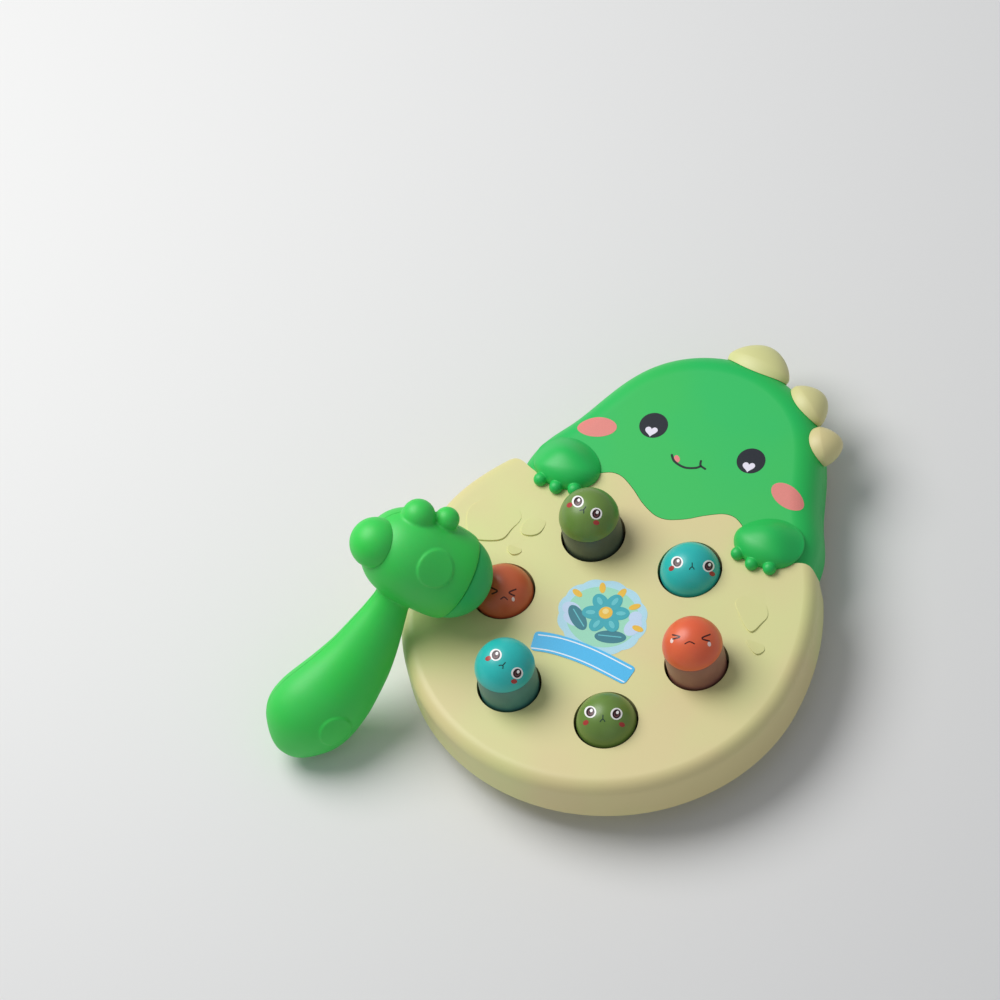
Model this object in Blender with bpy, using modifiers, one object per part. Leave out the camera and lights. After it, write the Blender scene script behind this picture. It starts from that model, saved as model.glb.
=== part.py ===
# A mechanical mole pounding game. An egg-shaped board lies flat, with a small dinosaur hatching from
# its upper end. Six moles stand in a ring of holes. They work in pairs over three rockers, so a mole
# that is knocked down lifts its partner. A toy hammer leans on the sixth mole.
# Metres, +Z up, +Y towards the dinosaur's head. The origin is the middle of the ring of moles, on
# the surface that the board lies on.

import math

import bmesh
import bpy
from mathutils import Euler, Matrix, Vector

# Fits shared by the whole toy
GAP = 0.0003
OVERRUN = 0.004
WELD = 0.00001

# Ring of moles
RING_RADIUS = 0.058
MOLE_COUNT = 6
FIRST_MOLE_ANGLE = math.radians(120)

# Board shell, with its margins outside the ring
BOARD_HEIGHT = 0.045
WALL = 0.0022
EGG_SIDE_MARGIN = 0.053
EGG_LOWER_MARGIN = 0.0455
EGG_UPPER_MARGIN = 0.070
EGG_CENTRE_Y = 0.005
EGG_EDGE_RADIUS = 0.008
EGG_SEGMENTS = 48
EDGE_SEGMENTS = 3

# Broken upper edge of the egg: half of a zigzag, from its middle tooth out, as shares of the
# half width and the depth of the break
BREAK_HALF_WIDTH = 0.093
BREAK_MARGIN = 0.0135
BREAK_DEPTH = 0.0185
BREAK_SHARES = [(0.0, 0.0), (0.14, 0.3), (0.23, 0.65), (0.36, 1.0), (0.47, 0.76),
                (0.64, -0.08), (0.8, 0.08), (0.925, 0.38), (1.0, 0.14)]

# Dinosaur's head and shoulders: half of the outline, from the crown down, as shares of the half
# width and of the length above the hidden lower end
HEAD_HALF_WIDTH = 0.087
HEAD_LENGTH = 0.1213
HEAD_BASE_MARGIN = 0.004
HEAD_EDGE_RADIUS = 0.015
HEAD_SHARES = [(0.0, 1.0), (0.12, 0.993), (0.23, 0.975), (0.345, 0.945), (0.46, 0.898),
               (0.575, 0.828), (0.659, 0.745), (0.724, 0.651), (0.777, 0.556), (0.822, 0.47),
               (0.866, 0.404), (0.914, 0.353), (0.961, 0.289), (0.99, 0.222), (1.0, 0.145),
               (0.99, 0.068), (0.945, 0.0)]

# Moles and their holes
TRAVEL = 0.020
HOLE_CLEARANCE = 0.0011
TUBE_WALL = 0.0018
CAP_RADIUS = 0.0163
CAP_WALL = 0.0018
CAP_SKIRT = 0.002
MOLE_UP_HEIGHT = 0.017
SLEEVE_STEP = 0.0006
SLEEVE_CLEARANCE = 0.0013
SLEEVE_WALL = 0.0016
PLUG_LENGTH = 0.003
PLUG_CLEARANCE = 0.0008
STEM_RADIUS = 0.0035
ROUND_SEGMENTS = 16
SLEEVE_SEGMENTS = 12
SMALL_SEGMENTS = 8
CAP_ARC_SEGMENTS = 4

# Base plate: a rim inside the shells' walls, and a deeper tray set back under them
TRAY_HEIGHT = 0.017
TRAY_INSET = 0.012
FLOOR_THICKNESS = 0.003
BOSS_RADIUS = 0.004
EGG_SCREW_SHARES = [(-0.8, 0.0), (0.8, 0.0), (-0.45, -0.62), (0.45, -0.62)]
HEAD_SCREW_SHARES = [(-0.5, 0.5), (0.5, 0.5), (0.0, 0.8)]
EGG_PAD_SHARES = [(-0.62, -0.35), (0.62, -0.35)]
HEAD_PAD_SHARES = [(-0.33, 0.68), (0.33, 0.68)]
PAD_RADIUS = 0.007
PAD_THICKNESS = 0.0015

# Self-tapping screws, those of the board and of the hammer
SCREW_RADIUS = 0.0014
SCREW_HEAD_RADIUS = 0.003
SCREW_HEAD_HEIGHT = 0.0016
SCREW_LENGTH = 0.010
SCREW_SLOT_WIDTH = 0.0008
SCREW_SLOT_DEPTH = 0.0007

# Rockers and their pins
ARM_THICKNESS = 0.004
ARM_WIDTH = 0.008
TIP_RADIUS = 0.003
HUB_RADIUS = 0.0045
HUB_WIDTH = 0.010
PIN_RADIUS = 0.002
FLOOR_CLEARANCE = 0.0005
TUBE_CLEARANCE = 0.0015
POST_LENGTH = 0.008
POST_THICKNESS = 0.003
POST_MARGIN = 0.0025

# Paws, each a flattened pad with three claws over the broken edge
PAW_X = 0.061
PAW_BEHIND_BREAK = 0.0055
PAW_HALF_WIDTH = 0.0175
PAW_HALF_LENGTH = 0.014
PAW_HEIGHT = 0.012
PAW_PEG_RADIUS = 0.0025
PAW_PEG_LENGTH = 0.006
PAW_PEG_FORWARD = 0.005
CLAW_RADIUS = 0.0036
CLAW_LIFT = 0.0015
CLAW_SHARES = [(-0.67, -0.70), (-0.10, -0.89), (0.48, -0.71)]

# Fins on the dinosaur's back: angle round the head's middle, then the half width along the wall and
# the reach out, both as shares of the head's length
FIN_CENTRE_SHARE = 0.4122
FIN_HEIGHT = 0.035
FIN_HALF_THICKNESS = 0.0095
FIN_PEG_RADIUS = 0.0025
FIN_PEG_LENGTH = 0.006
FINS = [{"angle": math.radians(87.6), "width_share": 0.146, "reach_share": 0.104},
        {"angle": math.radians(57), "width_share": 0.109, "reach_share": 0.0684},
        {"angle": math.radians(34.7), "width_share": 0.089, "reach_share": 0.0742}]

# Hammer, in its own axes: x to the striking face, y up the handle to the head, z to the front
BARREL_HALF_LENGTH = 0.032
BARREL_RADIUS = 0.0285
BARREL_CENTRE_X = 0.002
BARREL_ROUNDNESS = 3.0
BARREL_FACE_X = 0.027
BARREL_RINGS = 7
FACE_RADIUS = 0.024
FACE_CENTRE_X = 0.020
FACE_PLUG_RADIUS = 0.014
FACE_PLUG_LENGTH = 0.005
KNOB_RADIUS = 0.0142
KNOB_X = -0.0265
KNOB_Y = -0.004
KNOB_Z = 0.0045
KNOB_PLUG_RADIUS = 0.005
KNOB_PLUG_LENGTH = 0.006
BUMP_SEGMENTS = 12
# Two round bumps on the head's crown: place along and up, then radius, as shares of the drum's radius
CROWN_BUMP_SHARES = [(-0.561, 0.754, 0.291), (0.0, 0.912, 0.239)]
HANDLE_LENGTH = 0.131
HANDLE_RADIUS = 0.0262
HANDLE_FLATNESS_SHARE = 0.8
HANDLE_SHARES = [(0.12, 0.40), (0.22, 0.40), (0.30, 0.53), (0.374, 0.677), (0.473, 0.842), (0.54, 0.915),
                 (0.61, 0.965), (0.695, 1.0), (0.76, 0.985), (0.81, 0.942), (0.885, 0.81),
                 (0.935, 0.655), (0.96, 0.558), (0.985, 0.36), (1.0, 0.0)]
HAMMER_WALL = 0.0022
HAMMER_SCREW_SHARES = [0.0, -0.45, -0.8]
HAMMER_SCREW_SEAT = 0.008
HAMMER_SCREW_REACH = 0.006
HAMMER_ROLL = math.radians(50)
HAMMER_HEADING = math.radians(69)
HAMMER_FIRST_PITCH = math.radians(35)
PITCH_STEPS = 12
FACE_OFFSET_X = -0.0212
FACE_OFFSET_Y = -0.015

CREAM = (0.74, 0.74, 0.34)
GREEN = (0.06, 0.56, 0.15)
PAW_GREEN = (0.05, 0.48, 0.14)
HAMMER_GREEN = (0.08, 0.59, 0.11)
MOLE_COLOURS = {"olive": (0.11, 0.21, 0.04), "teal": (0.045, 0.52, 0.48), "orange": (0.85, 0.16, 0.045),
                "rust": (0.48, 0.08, 0.03)}
SLEEVE_COLOURS = {"olive": (0.05, 0.065, 0.05), "teal": (0.045, 0.2, 0.2), "orange": (0.25, 0.09, 0.065),
                  "rust": (0.25, 0.09, 0.065)}
MOLE_TINTS = ["olive", "teal", "orange", "olive", "teal", "rust"]

EGG_HALF_WIDTH = RING_RADIUS + EGG_SIDE_MARGIN
EGG_LOWER_LENGTH = RING_RADIUS + EGG_LOWER_MARGIN
EGG_UPPER_LENGTH = RING_RADIUS + EGG_UPPER_MARGIN
BREAK_LOWEST_Y = RING_RADIUS + BREAK_MARGIN
HEAD_BASE_Y = RING_RADIUS + HEAD_BASE_MARGIN
PAW_Y = BREAK_LOWEST_Y + PAW_BEHIND_BREAK
FIN_CENTRE_Y = HEAD_BASE_Y + FIN_CENTRE_SHARE * HEAD_LENGTH
PIVOT_Z = FLOOR_THICKNESS + FLOOR_CLEARANCE + TIP_RADIUS + TRAVEL / 2
TUBE_BOTTOM = PIVOT_Z + TRAVEL / 2 + TIP_RADIUS + TUBE_CLEARANCE
HOLE_RADIUS = CAP_RADIUS + HOLE_CLEARANCE
SLEEVE_RADIUS = CAP_RADIUS - SLEEVE_STEP
PAIR_SPACING = 2 * RING_RADIUS * math.sin(math.pi / MOLE_COUNT)
ROCKER_TILT = math.asin(TRAVEL / PAIR_SPACING)
ARM_RISE = SLEEVE_RADIUS * math.tan(ROCKER_TILT) + ARM_THICKNESS / 2 / math.cos(ROCKER_TILT)
SLEEVE_BOTTOM = PIVOT_Z - TRAVEL / 2 + ARM_RISE + SLEEVE_CLEARANCE
SLEEVE_LENGTH = BOARD_HEIGHT + MOLE_UP_HEIGHT - TRAVEL - CAP_SKIRT - GAP - SLEEVE_BOTTOM
TRAY_SEAT = WALL + 2 * GAP
TRAY_TUCK = TRAY_INSET - TRAY_SEAT


def clear_scene():
    for obj in list(bpy.data.objects):
        bpy.data.objects.remove(obj, do_unlink=True)


def new_collection(name):
    collection = bpy.data.collections.new(name)
    bpy.context.scene.collection.children.link(collection)
    return collection


def plastic(name, colour, roughness):
    material = bpy.data.materials.new(name)
    material.use_nodes = True
    shader = material.node_tree.nodes["Principled BSDF"]
    shader.inputs["Base Color"].default_value = (*colour, 1)
    shader.inputs["Roughness"].default_value = roughness
    shader.inputs["Metallic"].default_value = 0
    return material


def steel(name):
    material = plastic(name, (0.55, 0.55, 0.57), 0.35)
    material.node_tree.nodes["Principled BSDF"].inputs["Metallic"].default_value = 1
    return material


def add_part(name, mesh, material):
    part = bpy.data.objects.new(name, mesh)
    part.data.materials.clear()
    part.data.materials.append(material)
    parts.objects.link(part)
    return part


def add_cutter(name, mesh):
    cutter = bpy.data.objects.new(name, mesh)
    cutter.hide_render = True
    cutter.display_type = "WIRE"
    cutters.objects.link(cutter)
    return cutter


def to_mesh(name, bm):
    bmesh.ops.recalc_face_normals(bm, faces=bm.faces)
    mesh = bpy.data.meshes.new(name)
    bm.to_mesh(mesh)
    bm.free()
    mesh.shade_smooth()
    mesh.set_sharp_from_angle(angle=math.radians(35))
    return mesh


def combine(part, operation, other, solver="EXACT"):
    modifier = part.modifiers.new(operation.lower(), "BOOLEAN")
    modifier.operation = operation
    modifier.solver = solver
    modifier.object = other
    return part


def offset_outline(points, distance):
    """Moves a counter-clockwise outline outwards by a distance, or inwards if it is negative."""
    moved = []
    for index, point in enumerate(points):
        before = Vector(points[index - 1])
        here = Vector(point)
        after = Vector(points[(index + 1) % len(points)])
        first = (here - before).normalized()
        second = (after - here).normalized()
        normal = Vector((first.y + second.y, -first.x - second.x)).normalized()
        mitre = normal.dot(Vector((first.y, -first.x)))
        moved.append(tuple(here + normal * distance / mitre))
    return moved


def prism(name, outline, bottom, top, edge_radius=0):
    """A block on a flat outline, with its upper edge rounded where a radius is given."""
    bm = bmesh.new()
    base = bm.faces.new([bm.verts.new((x, y, bottom)) for x, y in outline])
    raised = bmesh.ops.extrude_face_region(bm, geom=[base])["geom"]
    upper = [item for item in raised if isinstance(item, bmesh.types.BMVert)]
    bmesh.ops.translate(bm, verts=upper, vec=(0, 0, top - bottom))
    if edge_radius:
        rim = [edge for edge in bm.edges if all(vert in upper for vert in edge.verts)]
        bmesh.ops.bevel(bm, geom=rim, offset=edge_radius, offset_type="OFFSET", segments=EDGE_SEGMENTS,
                        profile=0.5, affect="EDGES", clamp_overlap=True)
    return to_mesh(name, bm)


def add_rod(bm, radius, start, end, segments=ROUND_SEGMENTS):
    """A round rod between two points, added to a mesh that is being built."""
    axis = Vector(end) - Vector(start)
    turn = Vector((0, 0, 1)).rotation_difference(axis).to_matrix().to_4x4()
    place = Matrix.Translation((Vector(start) + Vector(end)) / 2) @ turn
    bmesh.ops.create_cone(bm, cap_ends=True, segments=segments, radius1=radius, radius2=radius,
                          depth=axis.length, matrix=place)


def add_box(bm, size, centre, turn=0):
    place = Matrix.Translation(centre) @ Matrix.Rotation(turn, 4, "Z") @ Matrix.Diagonal((*size, 1))
    bmesh.ops.create_cube(bm, size=1, matrix=place)


def add_ball(bm, radii, centre, turn=0, segments=ROUND_SEGMENTS):
    place = Matrix.Translation(centre) @ Matrix.Rotation(turn, 4, "Z") @ Matrix.Diagonal((*radii, 1))
    bmesh.ops.create_uvsphere(bm, u_segments=segments, v_segments=segments // 2, radius=1, matrix=place)


def rods(name, radius, places, bottom, top):
    bm = bmesh.new()
    for x, y in places:
        add_rod(bm, radius, (x, y, bottom), (x, y, top), SMALL_SEGMENTS)
    return to_mesh(name, bm)


def turned(name, profile, segments=ROUND_SEGMENTS):
    """A profile of radius and height, turned about Z. Its seams lie half a step off the X and Y axes."""
    mesh = bpy.data.meshes.new(name + "_profile")
    edges = [(index, index + 1) for index in range(len(profile) - 1)]
    mesh.from_pydata([(radius, 0, height) for radius, height in profile], edges, [])
    source = add_cutter(name + "_profile", mesh)
    screw = source.modifiers.new("turn", "SCREW")
    screw.steps = segments
    screw.render_steps = segments
    screw.use_merge_vertices = True
    screw.merge_threshold = WELD
    screw.use_normal_calculate = True
    bpy.context.view_layer.update()
    graph = bpy.context.evaluated_depsgraph_get()
    solid = bpy.data.meshes.new_from_object(source.evaluated_get(graph))
    bpy.data.objects.remove(source, do_unlink=True)
    bm = bmesh.new()
    bm.from_mesh(solid)
    bmesh.ops.remove_doubles(bm, verts=bm.verts, dist=WELD)
    bmesh.ops.rotate(bm, verts=bm.verts, matrix=Matrix.Rotation(math.pi / segments, 3, "Z"))
    return to_mesh(name, bm)


def places_in(shares, half_width, length, base_y):
    return [(x * half_width, base_y + y * length) for x, y in shares]


def egg_outline(inset=0):
    outline = []
    for step in range(EGG_SEGMENTS):
        angle = 2 * math.pi * step / EGG_SEGMENTS
        length = EGG_UPPER_LENGTH if math.sin(angle) > 0 else EGG_LOWER_LENGTH
        outline.append(((EGG_HALF_WIDTH - inset) * math.cos(angle),
                        EGG_CENTRE_Y + (length - inset) * math.sin(angle)))
    return outline


def head_outline(inset=0, tuck=0):
    right = [(x * (HEAD_HALF_WIDTH - tuck), HEAD_BASE_Y + y * (HEAD_LENGTH - tuck)) for x, y in HEAD_SHARES]
    left = [(-x, y) for x, y in right[1:]]
    return offset_outline(left + right[::-1], -inset) if inset else left + right[::-1]


def break_outline(grow=0):
    """Everything above the egg's broken edge, grown towards the egg by a distance."""
    half = [(x * BREAK_HALF_WIDTH, BREAK_LOWEST_Y + y * BREAK_DEPTH) for x, y in BREAK_SHARES]
    line = [(-x, y) for x, y in half[:0:-1]] + half
    rounded = [line[0]]
    for (x0, y0), (x1, y1) in zip(line, line[1:]):
        rounded += [(x0 + (x1 - x0) / 4, y0 + (y1 - y0) / 4), (x1 + (x0 - x1) / 4, y1 + (y0 - y1) / 4)]
    rounded.append(line[-1])
    side = EGG_HALF_WIDTH + EGG_LOWER_LENGTH
    top = EGG_UPPER_LENGTH + HEAD_LENGTH
    low = rounded[-1][1]
    return offset_outline([(-side, low)] + rounded + [(side, low), (side, top), (-side, top)], grow)


def mole_places():
    step = 2 * math.pi / MOLE_COUNT
    angles = [FIRST_MOLE_ANGLE - step * index for index in range(MOLE_COUNT)]
    return [(RING_RADIUS * math.cos(angle), RING_RADIUS * math.sin(angle)) for angle in angles]


def egg_floor(name, inset, bottom, top, tuck=0):
    """A flat block on the board's outline, moved in all round by an inset and at its sides by a tuck."""
    floor = add_cutter(name, prism(name, egg_outline(inset + tuck), bottom, top))
    above = add_cutter(name + "_break", prism(name + "_break", break_outline(inset), bottom - OVERRUN,
                                              top + OVERRUN))
    combine(floor, "DIFFERENCE", above)
    lobe = add_cutter(name + "_head", prism(name + "_head", head_outline(inset, tuck), bottom, top))
    return combine(floor, "UNION", lobe)


def egg_shell():
    block = prism("egg_shell", egg_outline(), TRAY_HEIGHT, BOARD_HEIGHT, EGG_EDGE_RADIUS)
    shell = add_part("egg_shell", block, plastic("cream shell plastic", CREAM, 0.42))
    above = add_cutter("egg_break", prism("egg_break", break_outline(), -OVERRUN, BOARD_HEIGHT + OVERRUN))
    combine(shell, "DIFFERENCE", above)
    hollow = add_cutter("egg_hollow", prism("egg_hollow", egg_outline(WALL), -OVERRUN,
                                            BOARD_HEIGHT - WALL, EGG_EDGE_RADIUS - WALL))
    inner_break = add_cutter("egg_inner_break", prism("egg_inner_break", break_outline(WALL),
                                                      -2 * OVERRUN, BOARD_HEIGHT + OVERRUN))
    combine(hollow, "DIFFERENCE", inner_break)
    combine(shell, "DIFFERENCE", hollow)
    combine(shell, "DIFFERENCE", recess)

    ribs = bmesh.new()
    for x, y in mole_places():
        add_rod(ribs, HOLE_RADIUS + TUBE_WALL, (x, y, TUBE_BOTTOM), (x, y, BOARD_HEIGHT - WALL / 2))
    for x, y in egg_screw_places():
        add_rod(ribs, BOSS_RADIUS, (x, y, FLOOR_THICKNESS + GAP), (x, y, BOARD_HEIGHT - WALL / 2),
                SMALL_SEGMENTS)
    combine(shell, "UNION", add_cutter("egg_ribs", to_mesh("egg_ribs", ribs)))

    holes = bmesh.new()
    for x, y in mole_places():
        add_rod(holes, HOLE_RADIUS, (x, y, TUBE_BOTTOM - OVERRUN), (x, y, BOARD_HEIGHT + OVERRUN))
    for x, y in egg_screw_places():
        add_rod(holes, SCREW_RADIUS + GAP, (x, y, 0), (x, y, SCREW_LENGTH + OVERRUN), SMALL_SEGMENTS)
    combine(shell, "DIFFERENCE", add_cutter("egg_holes", to_mesh("egg_holes", holes)))
    return shell


def head_shell():
    block = prism("dino_shell", head_outline(), TRAY_HEIGHT, BOARD_HEIGHT, HEAD_EDGE_RADIUS)
    shell = add_part("dino_shell", block, plastic("green shell plastic", GREEN, 0.4))
    outside = add_cutter("head_break", prism("head_break", break_outline(-GAP), -OVERRUN,
                                             BOARD_HEIGHT + OVERRUN))
    combine(shell, "INTERSECT", outside, "MANIFOLD")
    hollow = add_cutter("head_hollow", prism("head_hollow", head_outline(WALL), -OVERRUN,
                                             BOARD_HEIGHT - WALL, HEAD_EDGE_RADIUS - WALL))
    inside = add_cutter("head_inner_break", prism("head_inner_break", break_outline(-GAP - WALL),
                                                  -2 * OVERRUN, BOARD_HEIGHT + OVERRUN))
    combine(hollow, "INTERSECT", inside, "MANIFOLD")
    combine(shell, "DIFFERENCE", hollow)
    combine(shell, "DIFFERENCE", recess)
    bosses = rods("head_bosses", BOSS_RADIUS, head_screw_places(), FLOOR_THICKNESS + GAP,
                  BOARD_HEIGHT - WALL / 2)
    combine(shell, "UNION", add_cutter("head_bosses", bosses))

    holes = bmesh.new()
    for x, y in head_screw_places():
        add_rod(holes, SCREW_RADIUS + GAP, (x, y, 0), (x, y, SCREW_LENGTH + OVERRUN), SMALL_SEGMENTS)
    for side in (-1, 1):
        x, y = side * PAW_X, PAW_Y + PAW_PEG_FORWARD
        add_rod(holes, PAW_PEG_RADIUS + GAP, (x, y, BOARD_HEIGHT - PAW_PEG_LENGTH - OVERRUN),
                (x, y, BOARD_HEIGHT + OVERRUN), SMALL_SEGMENTS)
    for fin in FINS:
        start, end = fin_peg(fin)
        add_rod(holes, FIN_PEG_RADIUS + GAP, start, end, SMALL_SEGMENTS)
    combine(shell, "DIFFERENCE", add_cutter("head_holes", to_mesh("head_holes", holes)))
    return shell


def egg_screw_places():
    return places_in(EGG_SCREW_SHARES, EGG_HALF_WIDTH, EGG_LOWER_LENGTH, 0)


def head_screw_places():
    return places_in(HEAD_SCREW_SHARES, HEAD_HALF_WIDTH, HEAD_LENGTH, HEAD_BASE_Y)


def pad_places():
    return (places_in(EGG_PAD_SHARES, EGG_HALF_WIDTH, EGG_LOWER_LENGTH, 0)
            + places_in(HEAD_PAD_SHARES, HEAD_HALF_WIDTH, HEAD_LENGTH, HEAD_BASE_Y))


def pair_axes(pair):
    """The pivot of a pair of moles, the direction to its raised mole, and the pin's direction."""
    places = mole_places()
    raised = Vector(places[2 * pair])
    lowered = Vector(places[2 * pair + 1])
    along = (raised - lowered).normalized()
    return (raised + lowered) / 2, along, Vector((along.y, -along.x))


def base_plate():
    rim_top = TRAY_HEIGHT + FLOOR_THICKNESS
    plate = egg_floor("base_plate", WALL + GAP, TRAY_HEIGHT, rim_top)
    cutters.objects.unlink(plate)
    parts.objects.link(plate)
    plate.hide_render = False
    plate.display_type = "TEXTURED"
    plate.data.materials.append(plastic("base plate plastic", (0.62, 0.62, 0.3), 0.5))
    combine(plate, "UNION", egg_floor("tray_body", TRAY_SEAT, 0, rim_top - FLOOR_THICKNESS / 2, TRAY_TUCK))
    combine(plate, "DIFFERENCE", egg_floor("tray_well", TRAY_SEAT + WALL, FLOOR_THICKNESS, rim_top + OVERRUN,
                                           TRAY_TUCK))

    posts = bmesh.new()
    bores = bmesh.new()
    post_offset = HUB_WIDTH / 2 + GAP + POST_THICKNESS / 2
    post_height = PIVOT_Z + PIN_RADIUS + POST_MARGIN
    for pair in range(MOLE_COUNT // 2):
        pivot, along, across = pair_axes(pair)
        turn = math.atan2(along.y, along.x)
        for side in (-1, 1):
            x, y = pivot + across * side * post_offset
            add_box(posts, (POST_LENGTH, POST_THICKNESS, post_height - FLOOR_THICKNESS / 2),
                    (x, y, (post_height + FLOOR_THICKNESS / 2) / 2), turn)
        reach = across * (post_offset + POST_THICKNESS)
        start, end = pivot - reach, pivot + reach
        add_rod(bores, PIN_RADIUS + GAP, (*start, PIVOT_Z), (*end, PIVOT_Z), SMALL_SEGMENTS)
    combine(plate, "UNION", add_cutter("base_posts", to_mesh("base_posts", posts)))

    for x, y in egg_screw_places() + head_screw_places():
        add_rod(bores, SCREW_RADIUS + GAP, (x, y, -OVERRUN), (x, y, FLOOR_THICKNESS + OVERRUN),
                SMALL_SEGMENTS)
    combine(plate, "DIFFERENCE", add_cutter("base_bores", to_mesh("base_bores", bores)))

    sinks = bmesh.new()
    for x, y in egg_screw_places() + head_screw_places():
        add_rod(sinks, SCREW_HEAD_RADIUS + GAP, (x, y, -OVERRUN), (x, y, SCREW_HEAD_HEIGHT + GAP),
                SMALL_SEGMENTS)
    for x, y in pad_places():
        add_rod(sinks, PAD_RADIUS + GAP, (x, y, -OVERRUN), (x, y, PAD_THICKNESS + GAP))
    combine(plate, "DIFFERENCE", add_cutter("base_sinks", to_mesh("base_sinks", sinks)))
    return plate


def anti_slip_pads():
    foam = plastic("grey foam", (0.16, 0.16, 0.17), 0.9)
    for index, (x, y) in enumerate(pad_places(), 1):
        bm = bmesh.new()
        add_rod(bm, PAD_RADIUS, (0, 0, 0), (0, 0, PAD_THICKNESS))
        pad = add_part(f"anti_slip_pad_{index}", to_mesh(f"anti_slip_pad_{index}", bm), foam)
        pad.location = (x, y, 0)


def screw_mesh(name, length):
    """A pan-head screw that points up, with a cross slot. The underside of its head is at zero."""
    bm = bmesh.new()
    add_rod(bm, SCREW_RADIUS, (0, 0, -SCREW_HEAD_HEIGHT / 2), (0, 0, length), SMALL_SEGMENTS)
    shank = add_cutter(name + "_shank", to_mesh(name + "_shank", bm))
    bm = bmesh.new()
    add_rod(bm, SCREW_HEAD_RADIUS, (0, 0, -SCREW_HEAD_HEIGHT), (0, 0, 0), SMALL_SEGMENTS)
    head = add_cutter(name, to_mesh(name, bm))
    combine(head, "UNION", shank)
    slots = []
    slot_height = SCREW_SLOT_DEPTH + OVERRUN
    for turn in (0, math.pi / 2):
        bm = bmesh.new()
        add_box(bm, (SCREW_HEAD_RADIUS, SCREW_SLOT_WIDTH, slot_height),
                (0, 0, SCREW_SLOT_DEPTH - SCREW_HEAD_HEIGHT - slot_height / 2), turn)
        slots.append(add_cutter(f"{name}_slot", to_mesh(f"{name}_slot", bm)))
        combine(head, "DIFFERENCE", slots[-1])
    bpy.context.view_layer.update()
    graph = bpy.context.evaluated_depsgraph_get()
    mesh = bpy.data.meshes.new_from_object(head.evaluated_get(graph))
    for leftover in [head, shank] + slots:
        bpy.data.objects.remove(leftover, do_unlink=True)
    return mesh


def base_screws():
    mesh = screw_mesh("base_screw", SCREW_LENGTH - SCREW_HEAD_HEIGHT)
    zinc = steel("zinc-plated steel")
    for index, (x, y) in enumerate(egg_screw_places() + head_screw_places(), 1):
        screw = add_part(f"base_screw_{index}", mesh.copy(), zinc)
        screw.location = (x, y, SCREW_HEAD_HEIGHT)


def paws():
    paint = plastic("green paw plastic", PAW_GREEN, 0.4)
    for side, name in ((-1, "paw_left"), (1, "paw_right")):
        seat = BOARD_HEIGHT + GAP
        bm = bmesh.new()
        add_ball(bm, (PAW_HALF_WIDTH, PAW_HALF_LENGTH, PAW_HEIGHT), (0, 0, 0))
        paw = add_part(name, to_mesh(name, bm), paint)
        paw.location = (side * PAW_X, PAW_Y, seat)
        claws = bmesh.new()
        for x, y in CLAW_SHARES:
            add_ball(claws, [CLAW_RADIUS] * 3, (x * PAW_HALF_WIDTH, y * PAW_HALF_LENGTH, CLAW_LIFT),
                     segments=SMALL_SEGMENTS)
        claw_cutter = add_cutter(name + "_claws", to_mesh(name + "_claws", claws))
        under = bmesh.new()
        depth = PAW_HEIGHT + OVERRUN
        add_box(under, (3 * PAW_HALF_WIDTH, 3 * PAW_HALF_WIDTH, depth), (0, 0, -depth / 2))
        under_cutter = add_cutter(name + "_under", to_mesh(name + "_under", under))
        peg = bmesh.new()
        add_rod(peg, PAW_PEG_RADIUS, (0, PAW_PEG_FORWARD, -PAW_PEG_LENGTH),
                (0, PAW_PEG_FORWARD, PAW_HEIGHT / 2), SMALL_SEGMENTS)
        peg_cutter = add_cutter(name + "_peg", to_mesh(name + "_peg", peg))
        for cutter in (claw_cutter, under_cutter, peg_cutter):
            cutter.parent = paw
        combine(paw, "UNION", claw_cutter)
        combine(paw, "DIFFERENCE", under_cutter)
        combine(paw, "UNION", peg_cutter)


def wall_point(direction):
    """Where a line from the head's middle crosses its outline."""
    middle = Vector((0, FIN_CENTRE_Y))
    outline = [Vector(point) - middle for point in head_outline()]
    for first, second in zip(outline, outline[1:] + outline[:1]):
        run = second - first
        spread = direction.x * run.y - direction.y * run.x
        if not spread:
            continue
        reach = (first.x * run.y - first.y * run.x) / spread
        share = (first.x * direction.y - first.y * direction.x) / spread
        if reach > 0 and 0 <= share < 1:
            return middle + direction * reach
    return middle


def fin_peg(fin):
    direction = Vector((math.cos(fin["angle"]), math.sin(fin["angle"])))
    seat = wall_point(direction)
    start = seat - direction * FIN_PEG_LENGTH
    end = seat + direction * fin["reach_share"] * HEAD_LENGTH / 2
    return (*start, FIN_HEIGHT), (*end, FIN_HEIGHT)


def back_fins():
    paint = plastic("cream fin plastic", CREAM, 0.42)
    clearance = add_cutter("fin_clearance", prism("fin_clearance", head_outline(-GAP), -OVERRUN,
                                                  BOARD_HEIGHT + GAP, HEAD_EDGE_RADIUS + GAP))
    for index, fin in enumerate(FINS, 1):
        direction = Vector((math.cos(fin["angle"]), math.sin(fin["angle"])))
        x, y = wall_point(direction)
        bm = bmesh.new()
        radii = (fin["reach_share"] * HEAD_LENGTH, fin["width_share"] * HEAD_LENGTH, FIN_HALF_THICKNESS)
        add_ball(bm, radii, (x, y, FIN_HEIGHT), fin["angle"])
        part = add_part(f"back_fin_{index}", to_mesh(f"back_fin_{index}", bm), paint)
        combine(part, "DIFFERENCE", clearance)
        peg = bmesh.new()
        start, end = fin_peg(fin)
        add_rod(peg, FIN_PEG_RADIUS, start, end, SMALL_SEGMENTS)
        combine(part, "UNION", add_cutter(f"fin_peg_{index}", to_mesh(f"fin_peg_{index}", peg)))


def arc(radius, start, end, segments):
    """Points of radius and height along an arc about the origin, between two angles from level."""
    angles = [start + (end - start) * step / segments for step in range(segments + 1)]
    return [(radius * max(math.cos(angle), 0), radius * math.sin(angle)) for angle in angles]


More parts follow.
